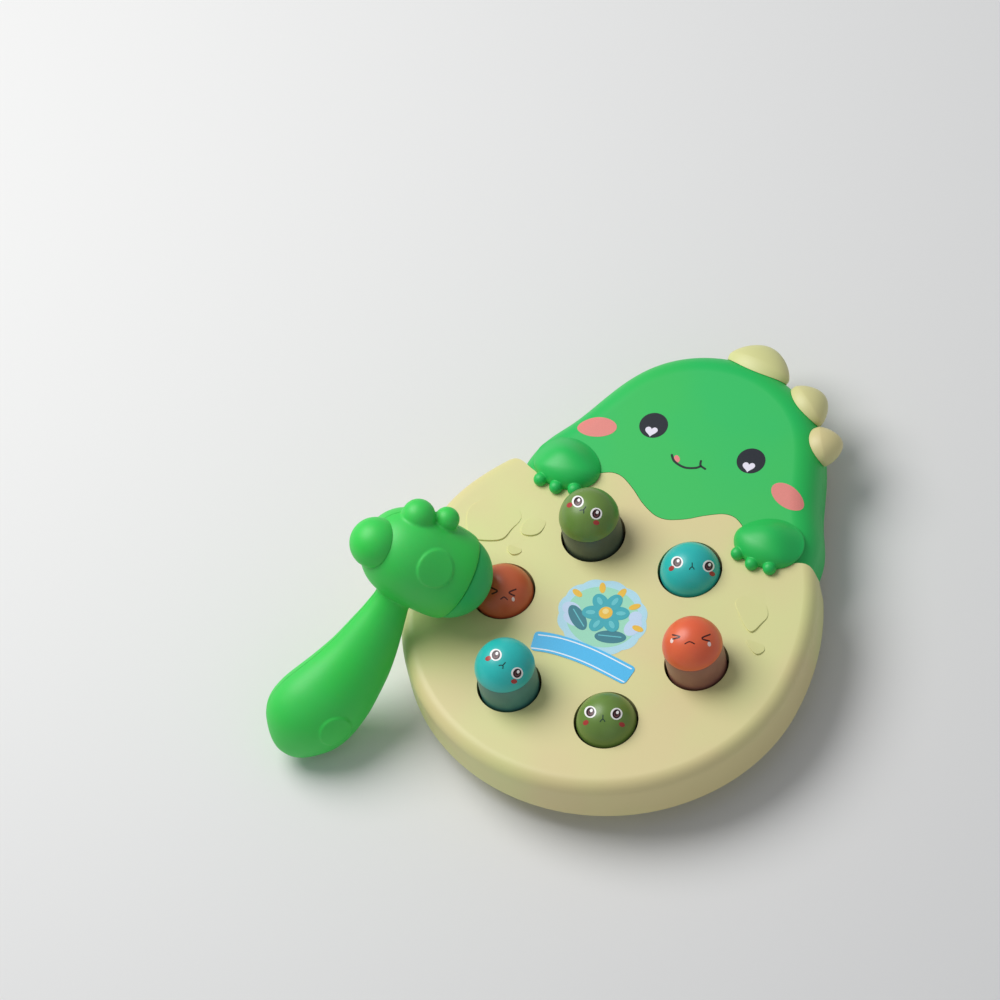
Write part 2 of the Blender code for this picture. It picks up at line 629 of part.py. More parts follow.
def cap_profile():
    inner_radius = CAP_RADIUS - CAP_WALL
    outer = arc(CAP_RADIUS, math.pi / 2, 0, CAP_ARC_SEGMENTS)
    inner = arc(inner_radius, 0, math.pi / 2, CAP_ARC_SEGMENTS - 1)
    outer[0] = (0, CAP_RADIUS)
    inner[-1] = (0, inner_radius)
    return outer + [(CAP_RADIUS, -CAP_SKIRT), (inner_radius, -CAP_SKIRT)] + inner


def plunger_profile():
    shoulder = -CAP_SKIRT - GAP
    plug_top = shoulder + PLUG_LENGTH
    plug_radius = CAP_RADIUS - CAP_WALL - PLUG_CLEARANCE
    bore_radius = SLEEVE_RADIUS - SLEEVE_WALL
    plug_bore = plug_radius - SLEEVE_WALL
    sleeve_bottom = shoulder - SLEEVE_LENGTH
    ceiling = plug_top - SLEEVE_WALL
    foot = PIVOT_Z + TRAVEL / 2 + TIP_RADIUS + GAP - BOARD_HEIGHT - MOLE_UP_HEIGHT
    return [(0, plug_top), (plug_radius, plug_top), (plug_radius, shoulder), (SLEEVE_RADIUS, shoulder),
            (SLEEVE_RADIUS, sleeve_bottom), (bore_radius, sleeve_bottom),
            (bore_radius, shoulder - SLEEVE_WALL), (plug_bore, shoulder - SLEEVE_WALL),
            (plug_bore, ceiling), (STEM_RADIUS, ceiling), (STEM_RADIUS, foot), (0, foot)]


def moles():
    """Odd moles stand up and even ones are down, and each has its origin at its dome's centre."""
    for index, (x, y) in enumerate(mole_places()):
        tint = MOLE_TINTS[index]
        drop = TRAVEL if index % 2 else 0
        place = (x, y, BOARD_HEIGHT + MOLE_UP_HEIGHT - drop)
        cap = add_part(f"mole_cap_{index + 1}", turned(f"mole_cap_{index + 1}", cap_profile()),
                       plastic(f"{tint} cap plastic {index + 1}", MOLE_COLOURS[tint], 0.3))
        cap.location = place
        plunger = add_part(f"mole_plunger_{index + 1}",
                           turned(f"mole_plunger_{index + 1}", plunger_profile(), SLEEVE_SEGMENTS),
                           plastic(f"{tint} sleeve plastic {index + 1}", SLEEVE_COLOURS[tint], 0.4))
        plunger.location = place


def rockers():
    """Each rocker has its origin on its pin. Its local X points to the raised mole of its pair."""
    acetal = plastic("white acetal", (0.8, 0.8, 0.78), 0.35)
    pin_steel = steel("bright steel")
    half_pin = HUB_WIDTH / 2 + GAP + POST_THICKNESS
    for pair in range(MOLE_COUNT // 2):
        pivot, along, _ = pair_axes(pair)
        turn = math.atan2(along.y, along.x)
        name = f"rocker_{pair + 1}"
        bm = bmesh.new()
        add_box(bm, (PAIR_SPACING, ARM_WIDTH, ARM_THICKNESS), (0, 0, 0))
        rocker = add_part(name, to_mesh(name, bm), acetal)
        rocker.location = (*pivot, PIVOT_Z)
        rocker.rotation_euler = (0, -ROCKER_TILT, turn)
        hub = bmesh.new()
        add_rod(hub, HUB_RADIUS, (0, -HUB_WIDTH / 2, 0), (0, HUB_WIDTH / 2, 0))
        for side in (-1, 1):
            tip_x = side * PAIR_SPACING / 2
            add_rod(hub, TIP_RADIUS, (tip_x, -ARM_WIDTH / 2, 0), (tip_x, ARM_WIDTH / 2, 0), SMALL_SEGMENTS)
        bore = bmesh.new()
        add_rod(bore, PIN_RADIUS + GAP, (0, -HUB_WIDTH, 0), (0, HUB_WIDTH, 0), SMALL_SEGMENTS)
        hub_cutter = add_cutter(name + "_hub", to_mesh(name + "_hub", hub))
        bore_cutter = add_cutter(name + "_bore", to_mesh(name + "_bore", bore))
        for cutter in (hub_cutter, bore_cutter):
            cutter.parent = rocker
        combine(rocker, "UNION", hub_cutter)
        combine(rocker, "DIFFERENCE", bore_cutter)

        rod = bmesh.new()
        add_rod(rod, PIN_RADIUS, (0, -half_pin, 0), (0, half_pin, 0), SMALL_SEGMENTS)
        pin = add_part(f"rocker_pin_{pair + 1}", to_mesh(f"rocker_pin_{pair + 1}", rod), pin_steel)
        pin.location = (*pivot, PIVOT_Z)
        pin.rotation_euler = (0, 0, turn)


def head_barrel(inset=0):
    """The hammer's head, a rounded drum about X that is cut flat for the striking face."""
    half_length = BARREL_HALF_LENGTH - inset
    radius = BARREL_RADIUS - inset
    face = BARREL_FACE_X - max(inset, 0) - BARREL_CENTRE_X
    profile = [(0, face)]
    start = math.acos(min(face / half_length, 1) ** (BARREL_ROUNDNESS / 2))
    for step in range(BARREL_RINGS + 1):
        angle = start + (math.pi - start) * step / BARREL_RINGS
        height = math.copysign(abs(math.cos(angle)) ** (2 / BARREL_ROUNDNESS), math.cos(angle))
        profile.append((radius * max(math.sin(angle), 0) ** (2 / BARREL_ROUNDNESS), half_length * height))
    profile[-1] = (0, -half_length)
    mesh = turned("barrel", profile)
    mesh.transform(Matrix.Translation((BARREL_CENTRE_X, 0, 0)) @ Matrix.Rotation(math.pi / 2, 4, "Y"))
    return mesh


def handle_body(inset=0):
    """The handle, which swells to a round end. It starts inside the head."""
    points = [(share * HANDLE_RADIUS - inset, -place * HANDLE_LENGTH) for place, share in HANDLE_SHARES[:-1]]
    profile = [(0, points[0][1])] + points + [(0, inset - HANDLE_LENGTH)]
    mesh = turned("handle", [point for point in profile if point[0] >= 0])
    mesh.transform(Matrix.Diagonal((1, HANDLE_FLATNESS_SHARE, 1, 1)))
    mesh.transform(Matrix.Rotation(-math.pi / 2, 4, "X"))
    return mesh


def hammer_rest():
    """The hammer leans with its striking face on the sixth mole and its handle on the surface."""
    mole = mole_places()[-1]
    dome_z = BOARD_HEIGHT + MOLE_UP_HEIGHT - TRAVEL
    reach = FACE_RADIUS + CAP_RADIUS + GAP
    rise = math.sqrt(reach ** 2 - FACE_OFFSET_X ** 2 - FACE_OFFSET_Y ** 2)
    face = Vector((mole[0] + FACE_OFFSET_X, mole[1] + FACE_OFFSET_Y, dome_z + rise))
    widest = max(HANDLE_SHARES, key=lambda place_and_radius: place_and_radius[1])
    swell_y = -widest[0] * HANDLE_LENGTH
    local_face = Vector((FACE_CENTRE_X, 0, 0))
    local_swell = Vector((0, swell_y, 0))
    radii = Vector((HANDLE_RADIUS, HANDLE_LENGTH + swell_y, HANDLE_RADIUS * HANDLE_FLATNESS_SHARE))
    pitch = HAMMER_FIRST_PITCH
    for _ in range(PITCH_STEPS):
        turn = Euler((pitch, HAMMER_ROLL, HAMMER_HEADING - math.pi / 2), "YXZ")
        matrix = turn.to_matrix()
        swell = face + matrix @ (local_swell - local_face)
        support = math.sqrt(sum((matrix[2][axis] * radii[axis]) ** 2 for axis in range(3)))
        pitch += (swell.z - support - GAP) / HANDLE_LENGTH
    matrix = turn.to_matrix()
    return face - matrix @ local_face, turn


def hammer():
    location, turn = hammer_rest()
    frame = bpy.data.objects.new("hammer_frame", None)
    frame.location = location
    frame.rotation_mode = "YXZ"
    frame.rotation_euler = turn
    parts.objects.link(frame)
    green = plastic("green hammer plastic", HAMMER_GREEN, 0.38)
    rubber = plastic("soft green rubber", (0.06, 0.5, 0.12), 0.55)
    screw_places = [(0, share * HANDLE_LENGTH) for share in HAMMER_SCREW_SHARES]

    bumps = bmesh.new()
    for share in CROWN_BUMP_SHARES:
        x, y, radius = (BARREL_RADIUS * part for part in share)
        add_ball(bumps, [radius] * 3, (x, y, 0), segments=BUMP_SEGMENTS)
    bump_cutter = add_cutter("hammer_bumps", to_mesh("hammer_bumps", bumps))
    handle_cutter = add_cutter("hammer_handle", handle_body())
    hollow = add_cutter("hammer_hollow", head_barrel(HAMMER_WALL))
    handle_hollow = add_cutter("hammer_handle_hollow", handle_body(HAMMER_WALL))
    pillars = bmesh.new()
    shanks = bmesh.new()
    wells = bmesh.new()
    depth = BARREL_RADIUS + OVERRUN
    for x, y in screw_places:
        add_rod(pillars, BOSS_RADIUS + HAMMER_WALL / 2, (x, y, -depth), (x, y, depth), SMALL_SEGMENTS)
        add_rod(shanks, SCREW_RADIUS + GAP, (x, y, -depth), (x, y, HAMMER_SCREW_REACH + GAP),
                SMALL_SEGMENTS)
        add_rod(wells, SCREW_HEAD_RADIUS + GAP, (x, y, -depth), (x, y, -HAMMER_SCREW_SEAT), SMALL_SEGMENTS)
    pillar_cutter = add_cutter("hammer_pillars", to_mesh("hammer_pillars", pillars))
    shank_cutter = add_cutter("hammer_shanks", to_mesh("hammer_shanks", shanks))
    well_cutter = add_cutter("hammer_wells", to_mesh("hammer_wells", wells))
    plugs = bmesh.new()
    add_rod(plugs, FACE_PLUG_RADIUS + GAP, (BARREL_FACE_X - FACE_PLUG_LENGTH - OVERRUN, 0, 0),
            (BARREL_FACE_X + OVERRUN, 0, 0))
    knob_inner = BARREL_CENTRE_X - BARREL_HALF_LENGTH + KNOB_PLUG_LENGTH
    knob_outer = KNOB_X - KNOB_RADIUS / 2
    add_rod(plugs, KNOB_PLUG_RADIUS + GAP, (knob_inner + OVERRUN, KNOB_Y, 0), (knob_outer, KNOB_Y, 0),
            SMALL_SEGMENTS)
    plug_cutter = add_cutter("hammer_plug_holes", to_mesh("hammer_plug_holes", plugs))
    combine(hollow, "UNION", handle_hollow)
    combine(hollow, "DIFFERENCE", pillar_cutter)

    span = 2 * (HANDLE_LENGTH + BARREL_RADIUS)
    for side, name in ((1, "hammer_front_half"), (-1, "hammer_back_half")):
        half = add_part(name, head_barrel(), green)
        keep = bmesh.new()
        add_box(keep, (span, span, span), (0, 0, side * (span + GAP) / 2))
        keep_cutter = add_cutter(name + "_side", to_mesh(name + "_side", keep))
        combine(half, "UNION", handle_cutter)
        combine(half, "UNION", bump_cutter)
        combine(half, "INTERSECT", keep_cutter)
        combine(half, "DIFFERENCE", hollow)
        combine(half, "DIFFERENCE", plug_cutter)
        combine(half, "DIFFERENCE", shank_cutter)
        combine(half, "DIFFERENCE", well_cutter)
        half.parent = frame
        keep_cutter.parent = frame

    face = bmesh.new()
    add_ball(face, [FACE_RADIUS] * 3, (FACE_CENTRE_X, 0, 0))
    pad = add_part("hammer_face_pad", to_mesh("hammer_face_pad", face), rubber)
    behind = bmesh.new()
    add_box(behind, (span, span, span), (BARREL_FACE_X + GAP - span / 2, 0, 0))
    behind_cutter = add_cutter("face_behind", to_mesh("face_behind", behind))
    plug = bmesh.new()
    add_rod(plug, FACE_PLUG_RADIUS, (BARREL_FACE_X - FACE_PLUG_LENGTH, 0, 0),
            (FACE_CENTRE_X + FACE_RADIUS / 2, 0, 0))
    face_plug = add_cutter("face_plug", to_mesh("face_plug", plug))
    combine(pad, "DIFFERENCE", behind_cutter)
    combine(pad, "UNION", face_plug)

    ball = bmesh.new()
    add_ball(ball, [KNOB_RADIUS] * 3, (KNOB_X, KNOB_Y, KNOB_Z))
    knob = add_part("hammer_rear_knob", to_mesh("hammer_rear_knob", ball), green)
    barrel_clearance = add_cutter("knob_clearance", head_barrel(-GAP))
    peg = bmesh.new()
    add_rod(peg, KNOB_PLUG_RADIUS, (knob_inner, KNOB_Y, 0), (knob_outer, KNOB_Y, 0), SMALL_SEGMENTS)
    knob_plug = add_cutter("knob_plug", to_mesh("knob_plug", peg))
    combine(knob, "DIFFERENCE", barrel_clearance)
    combine(knob, "UNION", knob_plug)

    screw = screw_mesh("hammer_screw", HAMMER_SCREW_SEAT + HAMMER_SCREW_REACH)
    zinc = steel("zinc-plated hammer screw steel")
    for index, (x, y) in enumerate(screw_places, 1):
        fastener = add_part(f"hammer_screw_{index}", screw.copy(), zinc)
        fastener.location = (x, y, -HAMMER_SCREW_SEAT - GAP)
        fastener.parent = frame
    for item in (pad, knob, bump_cutter, handle_cutter, hollow, handle_hollow, pillar_cutter, shank_cutter,
                 well_cutter, plug_cutter, behind_cutter, face_plug, barrel_clearance, knob_plug):
        item.parent = frame


clear_scene()
parts = new_collection("mole_pounding_game")
cutters = new_collection("cutters")
recess = egg_floor("base_recess", WALL, TRAY_HEIGHT - OVERRUN, TRAY_HEIGHT + FLOOR_THICKNESS + GAP)
egg_shell()
head_shell()
base_plate()
anti_slip_pads()
base_screws()
paws()
back_fins()
moles()
rockers()
hammer()
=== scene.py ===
# A mole pounding game: fine shells, caps, hammer and prints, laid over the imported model
import math

import bmesh
import bpy
from mathutils import Euler, Matrix, Vector
from mathutils.bvhtree import BVHTree


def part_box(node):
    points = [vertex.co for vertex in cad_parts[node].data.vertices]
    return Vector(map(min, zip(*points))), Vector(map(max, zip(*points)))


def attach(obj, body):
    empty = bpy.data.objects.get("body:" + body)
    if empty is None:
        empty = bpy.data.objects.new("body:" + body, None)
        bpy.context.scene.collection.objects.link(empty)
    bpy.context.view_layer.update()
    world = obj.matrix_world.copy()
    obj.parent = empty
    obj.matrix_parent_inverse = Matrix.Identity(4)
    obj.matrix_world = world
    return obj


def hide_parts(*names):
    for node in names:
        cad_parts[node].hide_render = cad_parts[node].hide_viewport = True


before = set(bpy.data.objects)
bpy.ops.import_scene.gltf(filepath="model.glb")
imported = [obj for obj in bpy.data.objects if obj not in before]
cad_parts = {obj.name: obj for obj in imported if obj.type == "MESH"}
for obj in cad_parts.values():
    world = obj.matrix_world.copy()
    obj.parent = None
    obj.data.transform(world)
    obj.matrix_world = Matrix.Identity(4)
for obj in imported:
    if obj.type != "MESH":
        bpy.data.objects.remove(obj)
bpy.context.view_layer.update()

mm = 0.001
hairline = 0.3 * mm  # the gap between neighbouring pieces
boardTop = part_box("egg_shell")[1].z
print("frame loaded")


def toLinear(hexColour):
    channels = [int(hexColour[start:start + 2], 16) / 255 for start in (1, 3, 5)]
    return [c / 12.92 if c <= 0.04045 else ((c + 0.055) / 1.055) ** 2.4 for c in channels] + [1]


def addNode(material, kind, settings=None, links=None):
    node = material.node_tree.nodes.new(kind)
    for name, value in (settings or {}).items():
        if isinstance(name, int) or name in node.inputs:
            node.inputs[name].default_value = value
        else:
            setattr(node, name, value)
    for name, socket in (links or {}).items():
        material.node_tree.links.new(socket, node.inputs[name])
    return node


def bareMaterial(name):
    material = bpy.data.materials.new(name)
    material.use_nodes = True
    material.node_tree.nodes.clear()
    return material


# Short forms of addNode for what the finishes share. All but the last return the socket of the result
def objectPlace(material):
    return addNode(material, "ShaderNodeTexCoord").outputs["Object"]


def addNoise(material, place, sizeMm, detail, roughness=0.5):
    return addNode(material, "ShaderNodeTexNoise",
                   {"Scale": 1 / (sizeMm * mm), "Detail": detail, "Roughness": roughness},
                   {"Vector": place}).outputs["Fac"]


def addRange(material, value, fromMin, fromMax, toMin=0.0, toMax=1.0):
    return addNode(material, "ShaderNodeMapRange",
                   {"From Min": fromMin, "From Max": fromMax, "To Min": toMin, "To Max": toMax},
                   {"Value": value}).outputs["Result"]


def addBlend(material, share, first, second):
    return addNode(material, "ShaderNodeMix",
                   {"data_type": "RGBA", 6: toLinear(first), 7: toLinear(second)}, {0: share}).outputs[2]


def addBump(material, height, strength, depthMm):
    return addNode(material, "ShaderNodeBump", {"Strength": strength, "Distance": depthMm * mm},
                   {"Height": height}).outputs["Normal"]


def addSurface(material, settings, links=None):
    shader = addNode(material, "ShaderNodeBsdfPrincipled", settings, links)
    addNode(material, "ShaderNodeOutputMaterial", {}, {"Surface": shader.outputs["BSDF"]})
    return shader


# ABS, injection moulded in a spark-eroded tool: an even satin skin with a fine pebble grain, soft
# highlights, and a faint drift of tone where the melt flowed
def mouldedAbs(name, colour, driftColour, driftMm, grainMm, grainDepth, roughness, wax=0, waxMm=0):
    material = bareMaterial(name)
    place = objectPlace(material)
    drift = addNoise(material, place, driftMm, 2.0)
    grain = addNoise(material, place, grainMm, 3.0, 0.6)
    tone = addBlend(material, addRange(material, drift, 0.38, 0.62), colour, driftColour)
    gloss = addRange(material, grain, 0.3, 0.7, roughness - 0.04, roughness + 0.05)
    pebbles = addBump(material, grain, grainDepth, 0.05)
    shader = addSurface(material, {"IOR": 1.53, "Metallic": 0.0},
                        {"Base Color": tone, "Roughness": gloss, "Normal": pebbles})
    if wax:  # light that sinks into thick pale plastic
        shader.subsurface_method = "RANDOM_WALK"
        shader.inputs["Subsurface Weight"].default_value = wax
        shader.inputs["Subsurface Scale"].default_value = waxMm * mm
    return material


# Pad-printed ink: a thin film, slightly raised, with a soft gloss of its own and tiny pinholes
def padInk(name, colour):
    material = bareMaterial(name)
    speckle = addNoise(material, objectPlace(material), 0.35, 2.0)
    tone = addNode(material, "ShaderNodeHueSaturation", {"Color": toLinear(colour)},
                   {"Value": addRange(material, speckle, 0.35, 0.65, 0.94, 1.04)})
    addSurface(material, {"Roughness": 0.32, "IOR": 1.48},
               {"Base Color": tone.outputs["Color"], "Normal": addBump(material, speckle, 0.12, 0.02)})
    return material


# Steel from a barrel plater or a centreless grinder: fine scratches round it over a bright metal
def workedSteel(name, colour, hazeColour, scratchMm, scratchStretch, roughness):
    material = bareMaterial(name)
    place = objectPlace(material)
    stretch = addNode(material, "ShaderNodeMapping", {"Scale": scratchStretch}, {"Vector": place})
    scratch = addNoise(material, stretch.outputs["Vector"], scratchMm, 4.0)
    haze = addNoise(material, place, 2.5, 2.0)
    addSurface(material, {"Metallic": 1.0},
               {"Base Color": addBlend(material, haze, colour, hazeColour),
                "Roughness": addRange(material, scratch, 0.3, 0.7, roughness - 0.06, roughness + 0.08),
                "Normal": addBump(material, scratch, 0.2, 0.02)})
    return material


# EVA foam: a soft closed-cell sheet, cut so that its bubbles stand open
def foam(name):
    material = bareMaterial(name)
    cells = addNode(material, "ShaderNodeTexVoronoi", {"Scale": 1 / (0.45 * mm)},
                    {"Vector": objectPlace(material)}).outputs["Distance"]
    # The colour follows the bubbles' depth: painted shade darkens each open bubble's hollow, and the cell
    # walls between stay lighter
    addSurface(material, {"Roughness": 0.9},
               {"Base Color": addBlend(material, cells, "#2C2C30", "#4A4A50"),
                "Normal": addBump(material, cells, 0.6, 0.15)})
    return material


# Colour, drift colour, the sizes of drift and grain in mm, the grain's depth and the roughness, and where
# light sinks in, its share and its reach in mm
plastics = {
    "creamAbs": ("#DEDD97", "#E2D398", 70, 0.7, 0.25, 0.46),
    "greenAbs": ("#16C35C", "#24C456", 60, 0.7, 0.25, 0.46),
    "hammerPolyethylene": ("#30D34B", "#3CD056", 45, 0.5, 0.2, 0.48, 0.1, 1.5),
    "padRubber": ("#2CC864", "#28C266", 25, 0.4, 0.3, 0.55, 0.1, 1.5),
    "oliveCap": ("#6F9040", "#68873A", 14, 0.3, 0.08, 0.34),
    "tealCap": ("#2CC3BB", "#2ABCB6", 14, 0.3, 0.08, 0.34),
    "orangeCap": ("#F06E40", "#EC663E", 14, 0.3, 0.08, 0.36),
    # The rust cap's colour is lighter than its own as painted light: it brightens the cap where the
    # hammer's cast shadow falls
    "rustCap": ("#D9683E", "#D26038", 14, 0.3, 0.08, 0.36),
    "oliveSleeve": ("#4A584A", "#425044", 12, 0.4, 0.2, 0.42),
    "tealSleeve": ("#4C8C86", "#46827E", 12, 0.4, 0.2, 0.42),
    "orangeSleeve": ("#A06C5E", "#966458", 12, 0.4, 0.2, 0.42),
    "basePlastic": ("#CFCB94", "#C8C08C", 50, 1.0, 0.5, 0.6),
    "acetal": ("#ECEBE4", "#E6E4DA", 10, 0.5, 0.1, 0.35, 0.2, 1.5)}
finishes = {name: mouldedAbs(name, *look) for name, look in plastics.items()}
finishes["zincSteel"] = workedSteel("zincSteel", "#D2D4D8", "#C6C4BA", 0.3, (1, 1, 4), 0.32)
finishes["pinSteel"] = workedSteel("pinSteel", "#DCDDE0", "#CFD0D2", 0.2, (1, 1, 6), 0.22)
finishes["foam"] = foam("foam")
inkColours = {
    "whiteInk": "#FFFCF8", "pupilInk": "#2E1216", "irisInk": "#7A4A4C", "blushInk": "#B23A34",
    "mouthInk": "#1E3A36", "browInk": "#43120E", "tearInk": "#FBE0D6", "eyeInk": "#141B26",
    "heartInk": "#F2ECF8", "cheekInk": "#EC8E84", "lineInk": "#0C2C22", "tongueInk": "#F48A88",
    "skyInk": "#B4E0EE", "cloudInk": "#C6DCF4", "mintInk": "#9FE0C0", "petalInk": "#35ADB8",
    "petalLightInk": "#62C6CC", "leafInk": "#2F7F8C", "sunInk": "#F2C03C", "sunLightInk": "#F8DE8A",
    "ribbonInk": "#48C0F4", "ribbonLineInk": "#F2FAFF"}
finishes.update({name: padInk(name, colour) for name, colour in inkColours.items()})
print("finishes made")


def addObject(name, data):
    thing = bpy.data.objects.new(name, data)
    bpy.context.scene.collection.objects.link(thing)
    return thing


def newPiece(name, bm, finish, body=None, slot=None, stands=()):
    bmesh.ops.recalc_face_normals(bm, faces=bm.faces)
    mesh = bpy.data.meshes.new(name)
    bm.to_mesh(mesh)
    bm.free()
    piece = addObject(name, mesh)
    for one in ([finish] if isinstance(finish, str) else finish):
        mesh.materials.append(finishes[one])
    smoothPiece(piece)
    if body:
        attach(piece, body)
    if slot:
        standFor(piece, slot, *stands)
    return piece


def standFor(piece, slot, *nodes):
    if nodes:
        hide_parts(*nodes)


def smoothPiece(piece, angle=38):
    piece.data.shade_smooth()
    piece.data.set_sharp_from_angle(angle=math.radians(angle))


def carve(piece, tool, operation="DIFFERENCE"):
    # the tool is an object, or a bmesh that gets the piece's own finish
    if isinstance(tool, bmesh.types.BMesh):
        tool = newPiece("tool", tool, piece.data.materials[0].name)
    change = piece.modifiers.new("carve", "BOOLEAN")
    change.operation = operation
    change.solver = "EXACT"
    change.object = tool
    settle(piece)
    bpy.data.objects.remove(tool, do_unlink=True)


def settle(piece):
    bpy.context.view_layer.update()
    graph = bpy.context.evaluated_depsgraph_get()
    mesh = bpy.data.meshes.new_from_object(piece.evaluated_get(graph))
    old = piece.data
    piece.modifiers.clear()
    piece.data = mesh
    bpy.data.meshes.remove(old)


def smoothThrough(points, steps, closed=False):
    count = len(points)
    curve = []
    for index in range(count if closed else count - 1):
        near = range(index - 1, index + 3)
        p0, p1, p2, p3 = (Vector(points[k % count if closed else min(max(k, 0), count - 1)]) for k in near)
        for step in range(steps):
            t = step / steps
            curve.append(tuple(0.5 * (2 * p1 + (p2 - p0) * t + (2 * p0 - 5 * p1 + 4 * p2 - p3) * t * t
                                      + (3 * p1 - p0 - 3 * p2 + p3) * t ** 3)))
    return curve if closed else curve + [tuple(points[-1])]


def cutCorners(line, passes):
    for _ in range(passes):
        cut = [line[0]]
        for (x0, y0), (x1, y1) in zip(line, line[1:]):
            cut += [(x0 + (x1 - x0) / 4, y0 + (y1 - y0) / 4), (x1 + (x0 - x1) / 4, y1 + (y0 - y1) / 4)]
        line = cut + [line[-1]]
    return line


def growOutline(points, distance):
    grown = []
    for index, point in enumerate(points):
        before, here, after = (Vector(points[(index + k) % len(points)]) for k in (-1, 0, 1))
        first = (here - before).normalized()
        second = (after - here).normalized()
        normal = Vector((first.y + second.y, -first.x - second.x)).normalized()
        grown.append(tuple(here + normal * distance / normal.dot(Vector((first.y, -first.x)))))
    return grown


def outlineBlock(outline, bottom, top, edge=0, steps=8):
    # a block on a flat outline; insets that step inwards and up round its upper rim
    bm = bmesh.new()
    bmesh.ops.create_circle(bm, cap_ends=True, segments=len(outline), radius=1)
    for vert, (x, y) in zip(bm.verts, outline):
        vert.co = (x, y, bottom)
    raised = bmesh.ops.extrude_face_region(bm, geom=bm.faces[:])["geom"]
    lid = next(item for item in raised if isinstance(item, bmesh.types.BMFace))
    bmesh.ops.translate(bm, verts=lid.verts, vec=(0, 0, top - edge - bottom))
    bmesh.ops.recalc_face_normals(bm, faces=bm.faces)
    for step in range(steps if edge else 0):
        before, after = (math.pi / 2 * k / steps for k in (step, step + 1))
        bmesh.ops.inset_region(bm, faces=[lid], thickness=edge * (math.cos(before) - math.cos(after)),
                               depth=edge * (math.sin(after) - math.sin(before)), use_even_offset=True)
    return bm


def rods(places, radius, bottom, top, segments=96):
    # an upright rod at each place
    bm = bmesh.new()
    for x, y in places:
        middle = (Vector((x, y, bottom)) + Vector((x, y, top))) / 2
        bmesh.ops.create_cone(bm, cap_ends=True, segments=segments, radius1=radius, radius2=radius,
                              depth=top - bottom, matrix=Matrix.Translation(middle))
    return bm


def addBall(bm, radius, place=(0, 0, 0), segments=96, rings=64):
    bmesh.ops.create_uvsphere(bm, u_segments=segments, v_segments=rings, radius=radius,
                              matrix=Matrix.Translation(place))


def addTo(whole, bm):
    carrier = bpy.data.meshes.new("carrier")
    bm.to_mesh(carrier)
    bm.free()
    whole.from_mesh(carrier)
    bpy.data.meshes.remove(carrier)
    return whole


def openMesh(piece):
    bm = bmesh.new()
    bm.from_mesh(piece.data)
    return bm


def closeMesh(piece, bm):
    bm.to_mesh(piece.data)
    bm.free()


def softenRims(piece):
    # rounds the sharp edges in the board's upper face
    bm = openMesh(piece)
    bmesh.ops.remove_doubles(bm, verts=bm.verts, dist=0.002 * mm)
    rims = [edge for edge in bm.edges
            if len(edge.link_faces) == 2 and edge.calc_face_angle() > math.radians(50)
            and all(vert.co.z > boardTop - 0.02 * mm for vert in edge.verts)]
    bmesh.ops.bevel(bm, geom=rims, offset=board["rim"], offset_type="OFFSET", segments=3, profile=0.5,
                    affect="EDGES", clamp_overlap=True, material=-1)
    closeMesh(piece, bm)
    smoothPiece(piece)
    weighted = piece.modifiers.new("flat faces stay flat", "WEIGHTED_NORMAL")
    weighted.keep_sharp = True
    weighted.weight = 100


# The picture's camera: its axes over the board, the width that it takes in, and the frame's middle
viewAxes = {"right": Vector((0.885, 0.447, -0.128)), "towards": Vector((0.332, -0.414, 0.848)),
            "distance": 9, "width": 532 * mm, "ringRight": 53 * mm, "ringDown": 67.5 * mm, "sensor": 36}


def placeCamera():
    towards = viewAxes["towards"].normalized()
    up = towards.cross(viewAxes["right"]).normalized()
    right = up.cross(towards).normalized()
    viewAxes.update({"towards": towards, "up": up, "right": right})
    aim = Vector((0, 0, boardTop)) - right * viewAxes["ringRight"] + up * viewAxes["ringDown"]
    lens = bpy.data.cameras.new("camera")
    lens.sensor_width = viewAxes["sensor"]
    lens.lens = viewAxes["sensor"] * viewAxes["distance"] / viewAxes["width"]
    camera = addObject("camera", lens)
    camera.matrix_world = Matrix.Translation(aim + towards * viewAxes["distance"]) @ Matrix(
        (right, up, towards)).transposed().to_4x4()
    bpy.context.scene.camera = camera


# Each mole is 60 degrees on, clockwise from the upper left; every second one stands up
ring = {"capRadius": 16.3 * mm, "clearance": 1.1 * mm, "tubeWall": 1.8 * mm, "tubeBottom": 31 * mm}


def moleCentre(index):
    low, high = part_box(f"mole_cap_{index}")
    return Vector(((low.x + high.x) / 2, (low.y + high.y) / 2, high.z - ring["capRadius"]))


board = {"wall": 2.2 * mm, "halfWidth": 111 * mm, "lower": 103.5 * mm, "upper": 128 * mm,
         "middleY": 5 * mm, "edge": 8 * mm, "foot": 17 * mm,
         "breakHalf": 93 * mm, "breakLow": 71.5 * mm, "breakDepth": 18.5 * mm,
         "breakShares": [(0.0, 0.0), (0.14, 0.3), (0.23, 0.65), (0.36, 1.0), (0.47, 0.76),
                         (0.64, -0.08), (0.8, 0.08), (0.925, 0.38), (1.0, 0.14)],
         "rim": 0.7 * mm,
         "shoulder": {"out": 6 * mm, "middleY": 45 * mm, "spread": 40 * mm, "tooth": 4 * mm}}


def eggOutline(inset=0, segments=180):
    # the left shoulder, under the hammer, is a little fuller than the right one
    shoulder = board["shoulder"]
    outline = []
    for step in range(segments):
        angle = 2 * math.pi * step / segments
        reach = board["upper"] if math.sin(angle) > 0 else board["lower"]
        x = (board["halfWidth"] - inset) * math.cos(angle)
        y = board["middleY"] + (reach - inset) * math.sin(angle)
        fuller = shoulder["out"] * math.exp(-((y - shoulder["middleY"]) / shoulder["spread"]) ** 2)
        outline.append((x + fuller * min(math.cos(angle), 0), y))
    return outline


